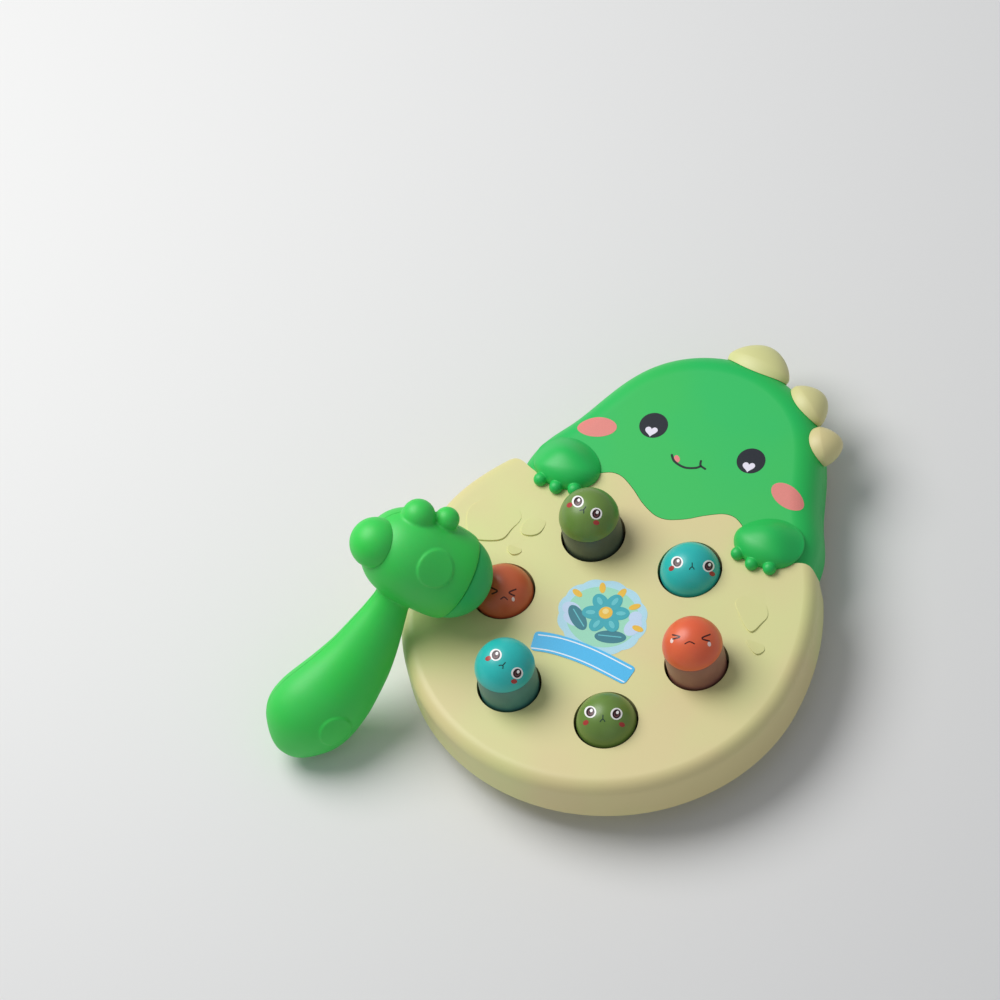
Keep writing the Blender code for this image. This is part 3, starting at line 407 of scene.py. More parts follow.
def breakOutline(grow=0):
    # everything above the egg's broken edge
    half = [(x * board["breakHalf"], board["breakLow"] + y * board["breakDepth"])
            for x, y in board["breakShares"]]
    # the outermost quarter on the left reaches out to the fuller shoulder
    left = [(-x - board["shoulder"]["tooth"] * max(4 * x / board["breakHalf"] - 3, 0), y)
            for x, y in half[:0:-1]]
    line = cutCorners(left + half, 3)
    side, low, top = 2 * board["halfWidth"], line[-1][1], 3 * board["upper"]
    return growOutline([(-side, low)] + line + [(side, low), (side, top), (-side, top)], grow)


# Chips of shell along the break, each a thin step at its lower edge that fades out upwards (mm)
chips = {"rise": 1.1 * mm, "edge": 0.35 * mm, "fade": 1.25,
         "outlines": [[(-98, 40), (-91, 24), (-84.5, 23.2), (-73.5, 28), (-71, 36), (-70, 46), (-84, 56)],
                      [(-66.5, 43), (-65.4, 36.3), (-60.4, 36), (-56, 39.7), (-55.8, 47.1), (-61, 51)],
                      [(-68, 27), (-67, 23.4), (-63, 22), (-59.8, 25.5), (-63, 29)],
                      [(60.5, 43), (66.7, 34.7), (76.2, 27.8), (79.5, 34.6), (80, 42), (70, 52)],
                      [(76.5, 23), (78.5, 20.4), (85.3, 16.6), (88.3, 21), (83, 25.5)]]}


def addChip(piece, outline):
    line = smoothThrough([(x * mm, y * mm) for x, y in outline], 6, closed=True)
    low, high = min(y for _, y in line), max(y for _, y in line)
    bm = outlineBlock(line, boardTop - mm, boardTop + chips["rise"], chips["edge"], 3)
    for vert in bm.verts:
        if vert.co.z > boardTop:
            vert.co.z -= (vert.co.y - low) / (high - low) * chips["fade"] * chips["rise"]
    carve(piece, bm, "UNION")


def eggShell():
    shell = newPiece("eggShell", outlineBlock(eggOutline(), board["foot"], boardTop, board["edge"], 10),
                     "creamAbs", "board", "cream_shell", ["egg_shell"])
    wall = board["wall"]
    inside = newPiece("inside", outlineBlock(eggOutline(wall), 0, boardTop - wall, board["edge"] - wall),
                      "creamAbs")
    carve(inside, outlineBlock(breakOutline(wall), -3 * wall, boardTop))
    carve(shell, outlineBlock(breakOutline(), -2 * wall, boardTop + wall))
    carve(shell, inside)
    centres = [moleCentre(index).xy for index in range(1, 7)]
    bore, low = ring["capRadius"] + ring["clearance"], ring["tubeBottom"]
    carve(shell, rods(centres, bore + ring["tubeWall"], low, boardTop - wall / 2), "UNION")
    for outline in chips["outlines"]:
        addChip(shell, outline)
    carve(shell, rods(centres, bore, low - wall, boardTop + wall))
    softenRims(shell)
    print("egg shell made")
    return shell


# The head's outline runs on below the break, where it is cut away
head = {"halfWidth": 87 * mm, "length": 121.3 * mm, "baseY": 62 * mm, "edge": 15 * mm,
        "easeFrom": 76 * mm, "easePasses": 40,
        "shares": [(0.0, 1.0), (0.12, 0.993), (0.23, 0.975), (0.345, 0.945), (0.46, 0.898),
                   (0.575, 0.828), (0.659, 0.745), (0.724, 0.651), (0.777, 0.556), (0.822, 0.47),
                   (0.866, 0.404), (0.914, 0.353), (0.961, 0.289), (0.99, 0.222), (1.0, 0.145),
                   (0.99, 0.068), (0.955, -0.01), (0.89, -0.087), (0.79, -0.164), (0.65, -0.231),
                   (0.45, -0.28), (0.23, -0.304), (0.0, -0.313)]}


def headOutline(inset=0):
    right = [(x * head["halfWidth"], head["baseY"] + y * head["length"]) for x, y in head["shares"]]
    rough = smoothThrough([(-x, y) for x, y in right[1:-1]] + right[::-1], 6, closed=True)
    line = [Vector(point) for point in rough]
    for _ in range(head["easePasses"]):
        eased = []
        for index, here in enumerate(line):
            before, after = line[index - 1], line[(index + 1) % len(line)]
            eased.append((before + 2 * here + after) / 4 if here.y > head["easeFrom"] else here)
        line = eased
    return growOutline([tuple(point) for point in line], -inset)


def dinoShell():
    wall = board["wall"]
    shell = newPiece("dinoShell", outlineBlock(headOutline(), board["foot"], boardTop, head["edge"], 12),
                     "greenAbs", "board", "green_shell", ["dino_shell"])
    carve(shell, outlineBlock(breakOutline(-hairline), -wall, boardTop + wall), "INTERSECT")
    inside = newPiece("inside", outlineBlock(headOutline(wall), 0, boardTop - wall, head["edge"] - wall),
                      "greenAbs")
    carve(inside, outlineBlock(breakOutline(-hairline - wall), -3 * wall, boardTop), "INTERSECT")
    carve(shell, inside)
    softenRims(shell)
    print("dinosaur shell made")
    return shell


placeCamera()
egg = eggShell()
dino = dinoShell()


def turnProfile(points, place=(0, 0, 0), steps=96, axis="Z"):
    # spins a chain of (radius, height) points that starts and ends on the axis
    bm = bmesh.new()
    verts = [bm.verts.new((radius, 0, height)) for radius, height in points]
    edges = [bm.edges.new(pair) for pair in zip(verts, verts[1:])]
    bmesh.ops.spin(bm, geom=verts + edges, cent=(0, 0, 0), axis=(0, 0, 1), angle=2 * math.pi, steps=steps,
                   use_merge=True)
    bmesh.ops.remove_doubles(bm, verts=bm.verts, dist=0.001 * mm)
    if axis == "X":
        bm.transform(Matrix.Rotation(math.pi / 2, 4, "Y"))
    elif axis == "Y":
        bm.transform(Matrix.Rotation(-math.pi / 2, 4, "X"))
    bm.transform(Matrix.Translation(place))
    return bm


def arcPoints(radius, start, end, steps, centre=(0, 0)):
    angles = [math.radians(start + (end - start) * step / steps) for step in range(steps + 1)]
    return [(centre[0] + radius * math.cos(turn), centre[1] + radius * math.sin(turn)) for turn in angles]


def fuse(piece, voxel, passes):
    # melts the overlapping bodies of a piece into one skin with soft creases
    remesh = piece.modifiers.new("fuse", "REMESH")
    remesh.mode = "VOXEL"
    remesh.voxel_size = voxel
    settle(piece)
    bm = openMesh(piece)
    for _ in range(passes):
        bmesh.ops.smooth_vert(bm, verts=bm.verts, factor=0.5, use_axis_x=True, use_axis_y=True,
                              use_axis_z=True)
    closeMesh(piece, bm)


def cutPlane(bm, place, normal, fill=True):
    # keeps what lies behind the plane
    cut = bmesh.ops.bisect_plane(bm, geom=bm.verts[:] + bm.edges[:] + bm.faces[:], dist=0.0001 * mm,
                                 plane_co=place, plane_no=normal, clear_outer=True)["geom_cut"]
    if fill:
        bmesh.ops.holes_fill(bm, edges=[item for item in cut if isinstance(item, bmesh.types.BMEdge)])


# Each paw is a soft mound: it runs out thin towards the arm and stands steep over its three claws
paw = {"halfWidth": 19, "halfLength": 14, "height": 11, "lip": 0.3, "stretch": 1.25,
       "fadeTowards": (0.3, 0.95), "steepPower": 2.3, "gentlePower": 1.3,
       "clawRadius": 3.7, "clawLift": 1.9, "voxel": 0.28 * mm,
       "sides": {"left": {"place": (-60.9, 82.5), "outward": -1,
                          "claws": [(-9.1, -13.6), (0.9, -14.8), (10.9, -12.4)]},
                 "right": {"place": (61, 79.5), "outward": 1,
                           "claws": [(-12.0, -11.6), (-2.2, -14.4), (8.0, -13.3)]}}}


def pawPiece(name, side):
    x, y = side["place"]
    seat = (boardTop + hairline) / mm
    fade = Vector((side["outward"] * paw["fadeTowards"][0], paw["fadeTowards"][1])).normalized()
    bm = bmesh.new()
    addBall(bm, 1)
    for vert in bm.verts:
        flat = Vector((vert.co.x, vert.co.y))
        reach = min(flat.length, 1)
        share = min(max(flat.dot(fade) + 0.5, 0), 1)
        share = share * share * (3 - 2 * share)
        lip = paw["lip"] / paw["height"]
        steep = max(1 - reach ** paw["steepPower"], 0) ** 0.5
        gentle = lip + (1 - lip) * (1 - reach ** 2) ** paw["gentlePower"]
        height = paw["height"] * ((1 - share) * steep + share * gentle) if vert.co.z > 0.001 else -1
        flat += fade * max(flat.dot(fade), 0) * (paw["stretch"] - 1)
        vert.co = (x + flat.x * paw["halfWidth"], y + flat.y * paw["halfLength"], seat + height)
    for clawX, clawY in side["claws"]:
        addBall(bm, paw["clawRadius"], (x + clawX, y + clawY, seat + paw["clawLift"]), 32, 24)
    bm.transform(Matrix.Scale(mm, 4))
    piece = newPiece(name, bm, "greenAbs", "board", "green_paw", [name])
    fuse(piece, paw["voxel"], 6)
    bm = openMesh(piece)
    cutPlane(bm, (0, 0, seat * mm), (0, 0, -1))
    closeMesh(piece, bm)
    smoothPiece(piece)


for name, side in paw["sides"].items():
    pawPiece("paw_" + name, side)
print("paws made")


# Back fins: rounded humps on the head's shoulder, blunt at the tip and hollowed to sit against it
fins = {"middle": (0, 112), "height": 35, "halfThickness": 9.5, "taper": 0.26, "thin": 0.2,
        "humps": [{"angle": 87.0, "reach": 13.2, "halfWidth": 18.4},
                  {"angle": 56.6, "reach": 10.8, "halfWidth": 13.6},
                  {"angle": 34.4, "reach": 11.0, "halfWidth": 11.2}]}


def wallPoint(direction):
    middle = Vector(fins["middle"]) * mm
    outline = [Vector(point) - middle for point in headOutline()]
    for first, second in zip(outline, outline[1:] + outline[:1]):
        run = second - first
        spread = direction.x * run.y - direction.y * run.x
        if abs(spread) > 1e-12:
            reach = (first.x * run.y - first.y * run.x) / spread
            share = (first.x * direction.y - first.y * direction.x) / spread
            if reach > 0 and 0 <= share < 1:
                return middle + direction * reach
    return middle


def finPiece(index, hump):
    angle = math.radians(hump["angle"])
    root = wallPoint(Vector((math.cos(angle), math.sin(angle))))
    bm = bmesh.new()
    addBall(bm, 1, (0, 0, 0), 80, 56)
    for vert in bm.verts:
        out = max(vert.co.x, 0)
        vert.co = (vert.co.x * hump["reach"], vert.co.y * hump["halfWidth"] * (1 - fins["taper"] * out),
                   vert.co.z * fins["halfThickness"] * (1 - fins["thin"] * out))
    bm.transform(Matrix.Scale(mm, 4))
    bm.transform(Matrix.Rotation(angle, 4, "Z"))
    bm.transform(Matrix.Translation((root.x, root.y, fins["height"] * mm)))
    piece = newPiece(f"fin_{index}", bm, "creamAbs", "board", "cream_shell", [f"back_fin_{index}"])
    wall = outlineBlock(headOutline(-hairline), -mm, boardTop + hairline, head["edge"] + hairline, 14)
    carve(piece, wall)
    smoothPiece(piece)


for index, hump in enumerate(fins["humps"], 1):
    finPiece(index, hump)
print("fins made")


# Moles: a domed cap, and a darker sleeve under it that slides in the hole
mole = {"tints": ["olive", "teal", "orange", "olive", "teal", "rust"],
        "sleeves": ["olive", "teal", "orange", "olive", "teal", "orange"],
        "wall": 1.8 * mm, "brim": 1.4 * mm, "lip": 0.35 * mm, "soft": 0.5 * mm, "sleeveRadius": 16.0 * mm,
        "sleeveWall": 1.6 * mm, "sleeveLength": 27.4 * mm, "plug": 3 * mm, "stemRadius": 3.5 * mm}


def molePieces(index):
    centre = moleCentre(index)
    radius, wall, lip = ring["capRadius"], mole["wall"], mole["lip"]
    inner = radius - wall
    low = mole["brim"]
    brim = math.degrees(math.asin((low + lip) / radius))
    brimRadius = radius * math.cos(math.radians(brim))
    cap = ([(0, radius)] + arcPoints(radius, 90, brim, 40)[1:]
           + arcPoints(lip, 0, -90, 5, (brimRadius - lip, low + lip))[1:]
           + arcPoints(lip, -90, -180, 5, (inner - 0.1 * mm + lip, low + lip))
           + arcPoints(inner, brim + 2, 90, 30)[:-1] + [(0, inner)])
    tint = mole["tints"][index - 1]
    newPiece(f"cap_{index}", turnProfile(cap, centre), tint + "Cap", f"mole_{index}", tint + "_cap",
             [f"mole_cap_{index}"])
    shoulder = low - hairline
    outer, bore = mole["sleeveRadius"], mole["sleeveRadius"] - mole["sleeveWall"]
    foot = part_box(f"mole_plunger_{index}")[0].z - centre.z
    bottom = shoulder - mole["sleeveLength"]
    plugRadius = inner - 0.8 * mm
    plugTop, soft, stem = shoulder + mole["plug"], mole["soft"], mole["stemRadius"]
    ceiling = plugTop - mole["sleeveWall"]
    plugBore, underside = plugRadius - mole["sleeveWall"], shoulder - mole["sleeveWall"]
    sleeve = ([(0, plugTop)] + arcPoints(soft, 90, 0, 4, (plugRadius - soft, plugTop - soft))
              + [(plugRadius, shoulder)] + arcPoints(soft, 90, 0, 5, (outer - soft, shoulder - soft))
              + arcPoints(lip, 0, -90, 4, (outer - lip, bottom + lip))
              + [(bore, bottom), (bore, underside), (plugBore, underside), (plugBore, ceiling),
                 (stem, ceiling)]
              + arcPoints(soft, 0, -90, 4, (stem - soft, foot + soft)) + [(0, foot)])
    newPiece(f"sleeve_{index}", turnProfile(sleeve, centre), mole["sleeves"][index - 1] + "Sleeve",
             f"mole_{index}", tint + "_sleeve", [f"mole_plunger_{index}"])


for index in range(1, 7):
    molePieces(index)
print("moles made")


# Prints are flat patches, laid on a surface and given the thickness of their ink
def discPatch(outline, rings=3, segments=48):
    bm = bmesh.new()
    bmesh.ops.create_circle(bm, cap_ends=True, segments=segments, radius=1)
    middle = bm.faces[:][0]
    for _ in range(rings - 1):
        bmesh.ops.inset_region(bm, faces=[middle], thickness=1 / rings, use_even_offset=True,
                               use_boundary=True)
    bmesh.ops.poke(bm, faces=[middle])
    for vert in bm.verts:
        reach = vert.co.length
        x, y = outline(math.atan2(vert.co.y, vert.co.x))
        vert.co = (x * reach, y * reach, 0)
    return bm


def turned(x, y, degrees):
    cos, sin = math.cos(math.radians(degrees)), math.sin(math.radians(degrees))
    return x * cos - y * sin, x * sin + y * cos


def ellipse(centre, radii, turn=0):
    def at(angle):
        return turned(radii[0] * math.cos(angle), radii[1] * math.sin(angle), turn)
    return {"centre": centre, "outline": at}


def heart(centre, size, turn=0):
    def at(angle):
        t = math.pi / 2 - angle
        x = size * math.sin(t) ** 3
        y = size / 16 * (13 * math.cos(t) - 5 * math.cos(2 * t) - 2 * math.cos(3 * t) - math.cos(4 * t))
        return turned(x, y, turn)
    return {"centre": centre, "outline": at}


def stroke(points, width, corner=None):
    return {"points": points, "width": width, "corner": corner}


def strokePatch(points, width, corner=None, steps=28):
    # a band along a smooth line; its ends are round, or square with rounded corners where corner is given
    line = [Vector(point) for point in smoothThrough(points, 12)]
    lengths = [0.0]
    for first, second in zip(line, line[1:]):
        lengths.append(lengths[-1] + (second - first).length)
    total, half = lengths[-1], width / 2
    overhang = 0 if corner else half
    corner = corner or half
    bm = bmesh.new()
    bmesh.ops.create_grid(bm, x_segments=steps, y_segments=4, size=1)
    for vert in bm.verts:
        turn = math.pi / 2 * vert.co.x
        along = (math.sin(turn) + 1) / 2 * (total + 2 * overhang) - overhang
        index = max(min(sum(1 for length in lengths if length <= along), len(line) - 1), 1)
        run = line[index] - line[index - 1]
        point = line[index - 1] + run * ((along - lengths[index - 1]) / run.length)
        inside = min(along + overhang, total + overhang - along, corner)
        spread = half - corner + math.sqrt(max(corner ** 2 - (corner - inside) ** 2, 0))
        side = Vector((-run.y, run.x)).normalized() * vert.co.y * spread
        vert.co = (point.x + side.x, point.y + side.y, 0)
    bmesh.ops.remove_doubles(bm, verts=bm.verts, dist=0.002)
    return bm


def printPiece(name, patches, place, body, film=0.03):
    # each patch is (layer, ink, shape): the layer sets how far it lies above the surface
    inks = sorted({ink for _, ink, _ in patches})
    whole = bmesh.new()
    for layer, ink, shape in patches:
        if "outline" in shape:
            bm = discPatch(shape["outline"], shape.get("rings", 3), shape.get("segments", 48))
            bm.transform(Matrix.Translation((*shape["centre"], 0)))
        else:
            bm = strokePatch(**shape)
        for vert in bm.verts:
            vert.co = place(vert.co.x * mm, vert.co.y * mm, (film + 0.01 + 0.03 * layer) * mm)
        for face in bm.faces:
            face.material_index = inks.index(ink)
        addTo(whole, bm)
    piece = newPiece(name, whole, inks, body)
    thick = piece.modifiers.new("ink", "SOLIDIFY")
    thick.thickness = film * mm
    thick.offset = -1
    settle(piece)
    smoothPiece(piece)
    return piece


def eye(x, y):
    return [(0, "whiteInk", ellipse((x, y), (3.15, 3.15))),
            (1, "pupilInk", ellipse((x + 0.05, y), (2.2, 2.45), -20)),
            (2, "irisInk", ellipse((x + 0.1, y - 0.25), (1.25, 1.5), -20)),
            (3, "pupilInk", ellipse((x, y - 0.1), (0.85, 1.05), -20)),
            (4, "whiteInk", ellipse((x + 0.55, y + 0.75), (0.75, 0.9), -20))]


def blush(x, y, turn=0):
    return 0, "blushInk", ellipse((x, y), (1.65, 1.25), turn)


def mouth(x, y, turn=0):
    def line(layer, width, *points):
        shifts = [turned(*point, turn) for point in points]
        return layer, "mouthInk", stroke([(x + across, y + up) for across, up in shifts], width)
    return [line(0, 0.55, (0, 2.2), (0, 1), (-0.1, 0.1)),
            line(1, 0.5, (0, 0.2), (-0.9, -0.4), (-1.5, -1.2)),
            line(1, 0.5, (0, 0.2), (0.6, -0.4), (1.0, -1.1))]


def brow(width, *points):
    return 0, "browInk", stroke(points, width)


def tear(x, y, radii, turn):
    return 0, "tearInk", ellipse((x, y), radii, turn)


# Where each face's features lie, in millimetres right and up from the dome's middle as the camera sees it
faces = {
    1: [*eye(-6.2, 8.7), *eye(3.6, 2.2), *mouth(-3.3, 4.0, -35), blush(-10.6, 6.8, 30),
        blush(3.6, -2.6, -10)],
    2: [*eye(-7.3, 5.6), *eye(9.5, 3.5), *mouth(0.7, 3.0), blush(-10.3, 2.3, 40), blush(11.4, -0.6, -30)],
    3: [brow(0.8, (-10.8, 6.3), (-6.9, 5.3), (-10.6, 4.1)), brow(0.8, (9.0, 6.5), (4.6, 4.5), (8.6, 3.0)),
        brow(0.6, (-4.3, 1.6), (-1.9, 2.7), (0.7, 1.6)), tear(-11.2, 3.2, (0.8, 1.3), -12),
        tear(8.6, 1.4, (0.9, 1.3), 12)],
    4: [*eye(-8.8, 6.1), *eye(5.1, 5.1), *mouth(-2.1, 2.2), blush(-11.2, 0.4, 35), blush(8.0, -0.6, -25)],
    5: [*eye(-4.9, 7.1), *eye(6.4, -2.6), *mouth(-1.3, 1.4, -40), blush(-9.0, 5.2, 30), blush(4.8, -7.0)],
    6: [brow(0.8, (-6.6, 3.4), (-3.4, 1.7), (-6.2, 0.2)), brow(0.8, (6.4, 2.6), (2.8, 0.9), (5.6, -0.8)),
        brow(0.6, (-1.6, -2.6), (0.1, -1.5), (1.9, -2.9)), tear(5.0, -2.7, (0.8, 1.2), 10)]}


def onDome(index):
    centre = moleCentre(index)

    def at(x, y, lift):
        reach = ring["capRadius"] + lift
        depth = math.sqrt(max(reach ** 2 - x * x - y * y, 0))
        return centre + viewAxes["right"] * x + viewAxes["up"] * y + viewAxes["towards"] * depth
    return at


for index, patches in faces.items():
    printPiece(f"face_{index}", patches, onDome(index), f"mole_{index}")
print("mole faces printed")


def onto(piece):
    bpy.context.view_layer.update()
    tree = BVHTree.FromObject(piece, bpy.context.evaluated_depsgraph_get())

    def at(x, y, lift):
        hit, normal, _, _ = tree.ray_cast(Vector((x, y, 4 * boardTop)), Vector((0, 0, -1)))
        return hit + normal * lift
    return at


dinoFace = [
    *((0, "eyeInk", ellipse((x, 123.5), (7.8, 7.8))) for x in (-29.3, 29.3)),
    *((1, "heartInk", heart((x, 119.7), 3.4, 14)) for x in (-28.9, 29.7)),
    *((1, "cheekInk",
       {**ellipse((57.3 * side, 111), (10.8, 6.2), -20 * side), "rings": 12, "segments": 72})
      for side in (-1, 1)),
    (0, "tongueInk", ellipse((-8.3, 109.5), (1.5, 2.3), 42)),
    (1, "lineInk",
     stroke([(-11.9, 110.6), (-8.7, 107.5), (-2.2, 106.2), (3.4, 108.1), (5.6, 110.2)], 1.3)),
    (1, "lineInk", stroke([(4.3, 113.2), (5.4, 110.6), (8.6, 109.6)], 1.2))]
printPiece("dinoFace", dinoFace, onto(dino), "board")
print("dinosaur face printed")


# The sticker between the moles: a scalloped vinyl film with a flower print, and a bare ribbon
sticker = {"middle": (-1.5, 5), "turn": -10.5, "size": (25.5, 22.5), "scallops": 12, "scallopDepth": 1.1}


def inSticker(x, y):
    across, up = turned(x, y, sticker["turn"])
    return sticker["middle"][0] + across, sticker["middle"][1] + up


def spot(ink, layer, x, y, radii, turn=0):
    return layer, ink, ellipse(inSticker(x, y), radii, turn + sticker["turn"])


def scallops(angle):
    wave = sticker["scallopDepth"] * abs(math.sin(angle * sticker["scallops"] / 2))
    x, y = ((size - sticker["scallopDepth"] + wave) for size in sticker["size"])
    return turned(x * math.cos(angle), y * math.sin(angle), sticker["turn"])


def stickerPrints():
    prints = [(0, "skyInk", {"centre": inSticker(0, 1), "outline": scallops, "rings": 4, "segments": 144}),
              spot("mintInk", 1, 0, 1, (20.5, 18))]
    clouds = [(-17, -4, (5.5, 4)), (-12.5, -8.5, (6, 3.6)), (17.5, 5, (4.2, 6)), (15, 10.5, (3.6, 3.6))]
    for index, (x, y, radii) in enumerate(clouds):
        prints.append(spot("cloudInk", 1.4 + 0.3 * index, x, y, radii))
    for x, turn in ((-11, 152), (11, 28)):
        prints.append(spot("leafInk", 3, x, -6.5, (8.6, 3.9), turn))
        vein = [inSticker(x * 0.45, -9), inSticker(x * 0.9, -6.6), inSticker(x * 1.45, -3.6)]
        prints.append((4, "petalLightInk", stroke(vein, 0.6)))
    for index in range(6):
        angle = 30 + 60 * index
        cos, sin = turned(1, 0, angle)
        prints += [spot("petalInk", 5 + index % 2, 7 * cos, 4 + 7 * sin, (5.9, 4.1), angle),
                   spot("petalLightInk", 7, 8.2 * cos, 4 + 8.2 * sin, (2.6, 1.3), angle)]
    prints += [spot("sunInk", 8, 0, 4, (3.7, 3.7)), spot("sunLightInk", 9, -0.6, 4.7, (1.7, 1.7))]
    for angle, away, size in ((52, 17.6, 1.0), (90, 16.6, 1.15), (128, 17.6, 1.0), (8, 20.5, 1.0),
                              (172, 20.5, 1.0)):
        cos, sin = turned(1, 0, angle)
        prints.append(spot("sunInk", 3, away * cos, 3 + away * sin * 0.9, (3.3 * size, 1.7 * size), angle))
    ribbon = [(-29.5, -21.4), (-16, -18.7), (4, -18.4), (29, -21.2)]
    prints.append((6, "ribbonInk", stroke(ribbon, 12, 2.4)))
    for shift in (-4.4, 4.4):
        prints.append((7, "ribbonLineInk", stroke([(x * 0.95 - 0.1, y + shift) for x, y in ribbon], 0.7)))
    return prints


printPiece("sticker", stickerPrints(), onto(egg), "board", film=0.06)
print("sticker laid")


# The hammer in its own frame: the drum along X, the handle down along Y, the halves meet at Z = 0
hammer = {"place": (-94.484359 * mm, -18.944066 * mm, 85.489087 * mm), "turn": (36.71576, 50, -21),
          "drumHalf": 32 * mm, "drumRadius": 25.6 * mm, "drumX": 2 * mm, "faceX": 25 * mm,
          "faceRoundness": 4.2, "backRoundness": 2.4,
          "bumps": [((-13.2 * mm, 22.9 * mm, 3 * mm), 9.1 * mm), ((1.6 * mm, 28 * mm, 3 * mm), 6.8 * mm)],
          "handleLength": 131 * mm, "handleRadius": 26.2 * mm, "flatness": 0.8,
          "handle": [(0.12, 0.38), (0.2, 0.39), (0.256, 0.444), (0.305, 0.5), (0.354, 0.56),
                     (0.402, 0.615), (0.451, 0.668), (0.5, 0.722), (0.549, 0.775), (0.598, 0.828),
                     (0.646, 0.882), (0.695, 0.928), (0.744, 0.953), (0.793, 0.95), (0.841, 0.9),
                     (0.89, 0.78), (0.939, 0.575), (0.97, 0.4), (0.988, 0.25), (1.0, 0.0)],
          "bow": [(0.15, 0), (0.3, 2.0), (0.45, 2.8), (0.55, 1.9), (0.65, 0), (0.74, -2.2), (0.84, -3.7),
                  (1.0, -3.9)],
          "discs": [((3 * mm, 7 * mm), 10 * mm), ((7 * mm, -101.5 * mm), 9 * mm)], "discRise": 0.9 * mm,
          "discEase": 1.3 * mm,
          "knob": (-26.7 * mm, -0.4 * mm, 5.9 * mm), "knobRadius": 13.9 * mm,
          "padX": 20.4 * mm, "padRadius": 23.4 * mm, "voxel": 0.65 * mm, "wall": 2.2 * mm,
          "screws": [0, -58.95 * mm, -104.8 * mm], "bossRadius": 5.1 * mm, "wellRadius": 3.3 * mm,
          "seat": -8 * mm, "boreRadius": 1.7 * mm, "boreTop": 6.3 * mm}
hammerRest = Matrix.Translation(hammer["place"]) @ Euler(
    [math.radians(angle) for angle in hammer["turn"]], "YXZ").to_matrix().to_4x4()


def drumBody(grow=0, steps=56, segments=96):
    half, radius = hammer["drumHalf"] + grow, hammer["drumRadius"] + grow
    face = hammer["faceX"] - hammer["drumX"] + grow
    start = math.acos(min(face / half, 1) ** (hammer["faceRoundness"] / 2))
    points = [(0, face)]
    for step in range(steps):
        angle = start + (math.pi - start) * step / steps
        power = 2 / hammer["faceRoundness" if math.cos(angle) > 0 else "backRoundness"]
        points.append((radius * math.sin(angle) ** power,
                       math.copysign(half * abs(math.cos(angle)) ** power, math.cos(angle))))
    return turnProfile(points + [(0, -half)], (hammer["drumX"], 0, 0), segments, "X")


def handleBody(inset=0, fineness=5, segments=96):
    profile = smoothThrough([(share * hammer["handleRadius"] - inset, -place * hammer["handleLength"])
                             for place, share in hammer["handle"][:-1]], fineness)
    profile = [point for point in profile if point[0] > 0]
    ends = [(0, profile[0][1])], [(0, inset - hammer["handleLength"])]
    bm = turnProfile(ends[0] + profile + ends[1], steps=segments, axis="Y")
    bmesh.ops.scale(bm, vec=(1, 1, hammer["flatness"]), verts=bm.verts)
    bow = smoothThrough(hammer["bow"], 8)
    for vert in bm.verts:
        along = min(-vert.co.y / hammer["handleLength"], 0.999)
        for (before, start), (after, end) in zip(bow, bow[1:]):
            if before <= along < after:
                vert.co.x += (start + (end - start) * (along - before) / (after - before)) * mm
    return bm


def hammerHalves():
    bumps = bmesh.new()
    for place, radius in hammer["bumps"]:
        addBall(bumps, radius, place, 48, 32)
    whole = newPiece("hammerBody", addTo(addTo(drumBody(), handleBody()), bumps), "hammerPolyethylene")
    fuse(whole, hammer["voxel"], 5)
    inside = newPiece("inside", drumBody(-hammer["wall"], 24, 48), "hammerPolyethylene")
    carve(inside, handleBody(hammer["wall"], 2, 48), "UNION")
    deep = hammer["drumRadius"] + 2 * mm
    places = [(0, y) for y in hammer["screws"]]
    bores = rods(places, hammer["boreRadius"], -deep, hammer["boreTop"], 32)
    carve(inside, rods(places, hammer["bossRadius"], -deep, deep, 48))
    holes = newPiece("holes", bores, "hammerPolyethylene")
    carve(holes, rods(places, hammer["wellRadius"], -deep, hammer["seat"], 48), "UNION")
    carve(inside, holes, "UNION")
    for side, name in ((1, "hammer_front_half"), (-1, "hammer_back_half")):
        bm = openMesh(whole)
        for (x, y), radius in hammer["discs"]:
            for vert in bm.verts:
                depth = radius - math.hypot(vert.co.x - x, vert.co.y - y)
                share = min(max(depth / hammer["discEase"] + 0.5, 0), 1)
                if side * vert.co.z > 0:
                    vert.co.z += side * hammer["discRise"] * share * share * (3 - 2 * share)
        cutPlane(bm, (0, 0, side * hairline / 2), (0, 0, -side))
        half = newPiece(name.replace("_half", ""), bm, "hammerPolyethylene")
        carve(half, addObject("hollow", inside.data.copy()))
        settleOnHammer(half, "hammer_plastic", name)
    for leftover in (whole, inside):
        bpy.data.objects.remove(leftover, do_unlink=True)


def settleOnHammer(piece, slot, node):
    piece.data.transform(hammerRest)
    smoothPiece(piece)
    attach(piece, "hammer")
    standFor(piece, slot, node)


def knobAndPad():
    bm = bmesh.new()
    addBall(bm, hammer["knobRadius"], hammer["knob"])
    knob = newPiece("rear_knob", bm, "hammerPolyethylene")
    carve(knob, drumBody(hairline))
    settleOnHammer(knob, "hammer_plastic", "hammer_rear_knob")
    radius, centre, back = hammer["padRadius"], hammer["padX"], hammer["faceX"] + hairline
    rim = math.degrees(math.asin((back - centre) / radius))
    curve = arcPoints(radius, 90, rim + 3, 44, (0, centre))[1:]
    edge = curve[-1][0]
    rounded = [(edge + 0.1 * mm, back + 0.7 * mm), (edge - 0.2 * mm, back + 0.2 * mm),
               (edge - 0.9 * mm, back)]
    profile = [(0, radius + centre)] + curve + rounded + [(0, back)]
    pad = newPiece("face_pad", turnProfile(profile, axis="X"), "padRubber")
    settleOnHammer(pad, "hammer_rubber", "hammer_face_pad")


hammerHalves()
knobAndPad()
print("hammer made")


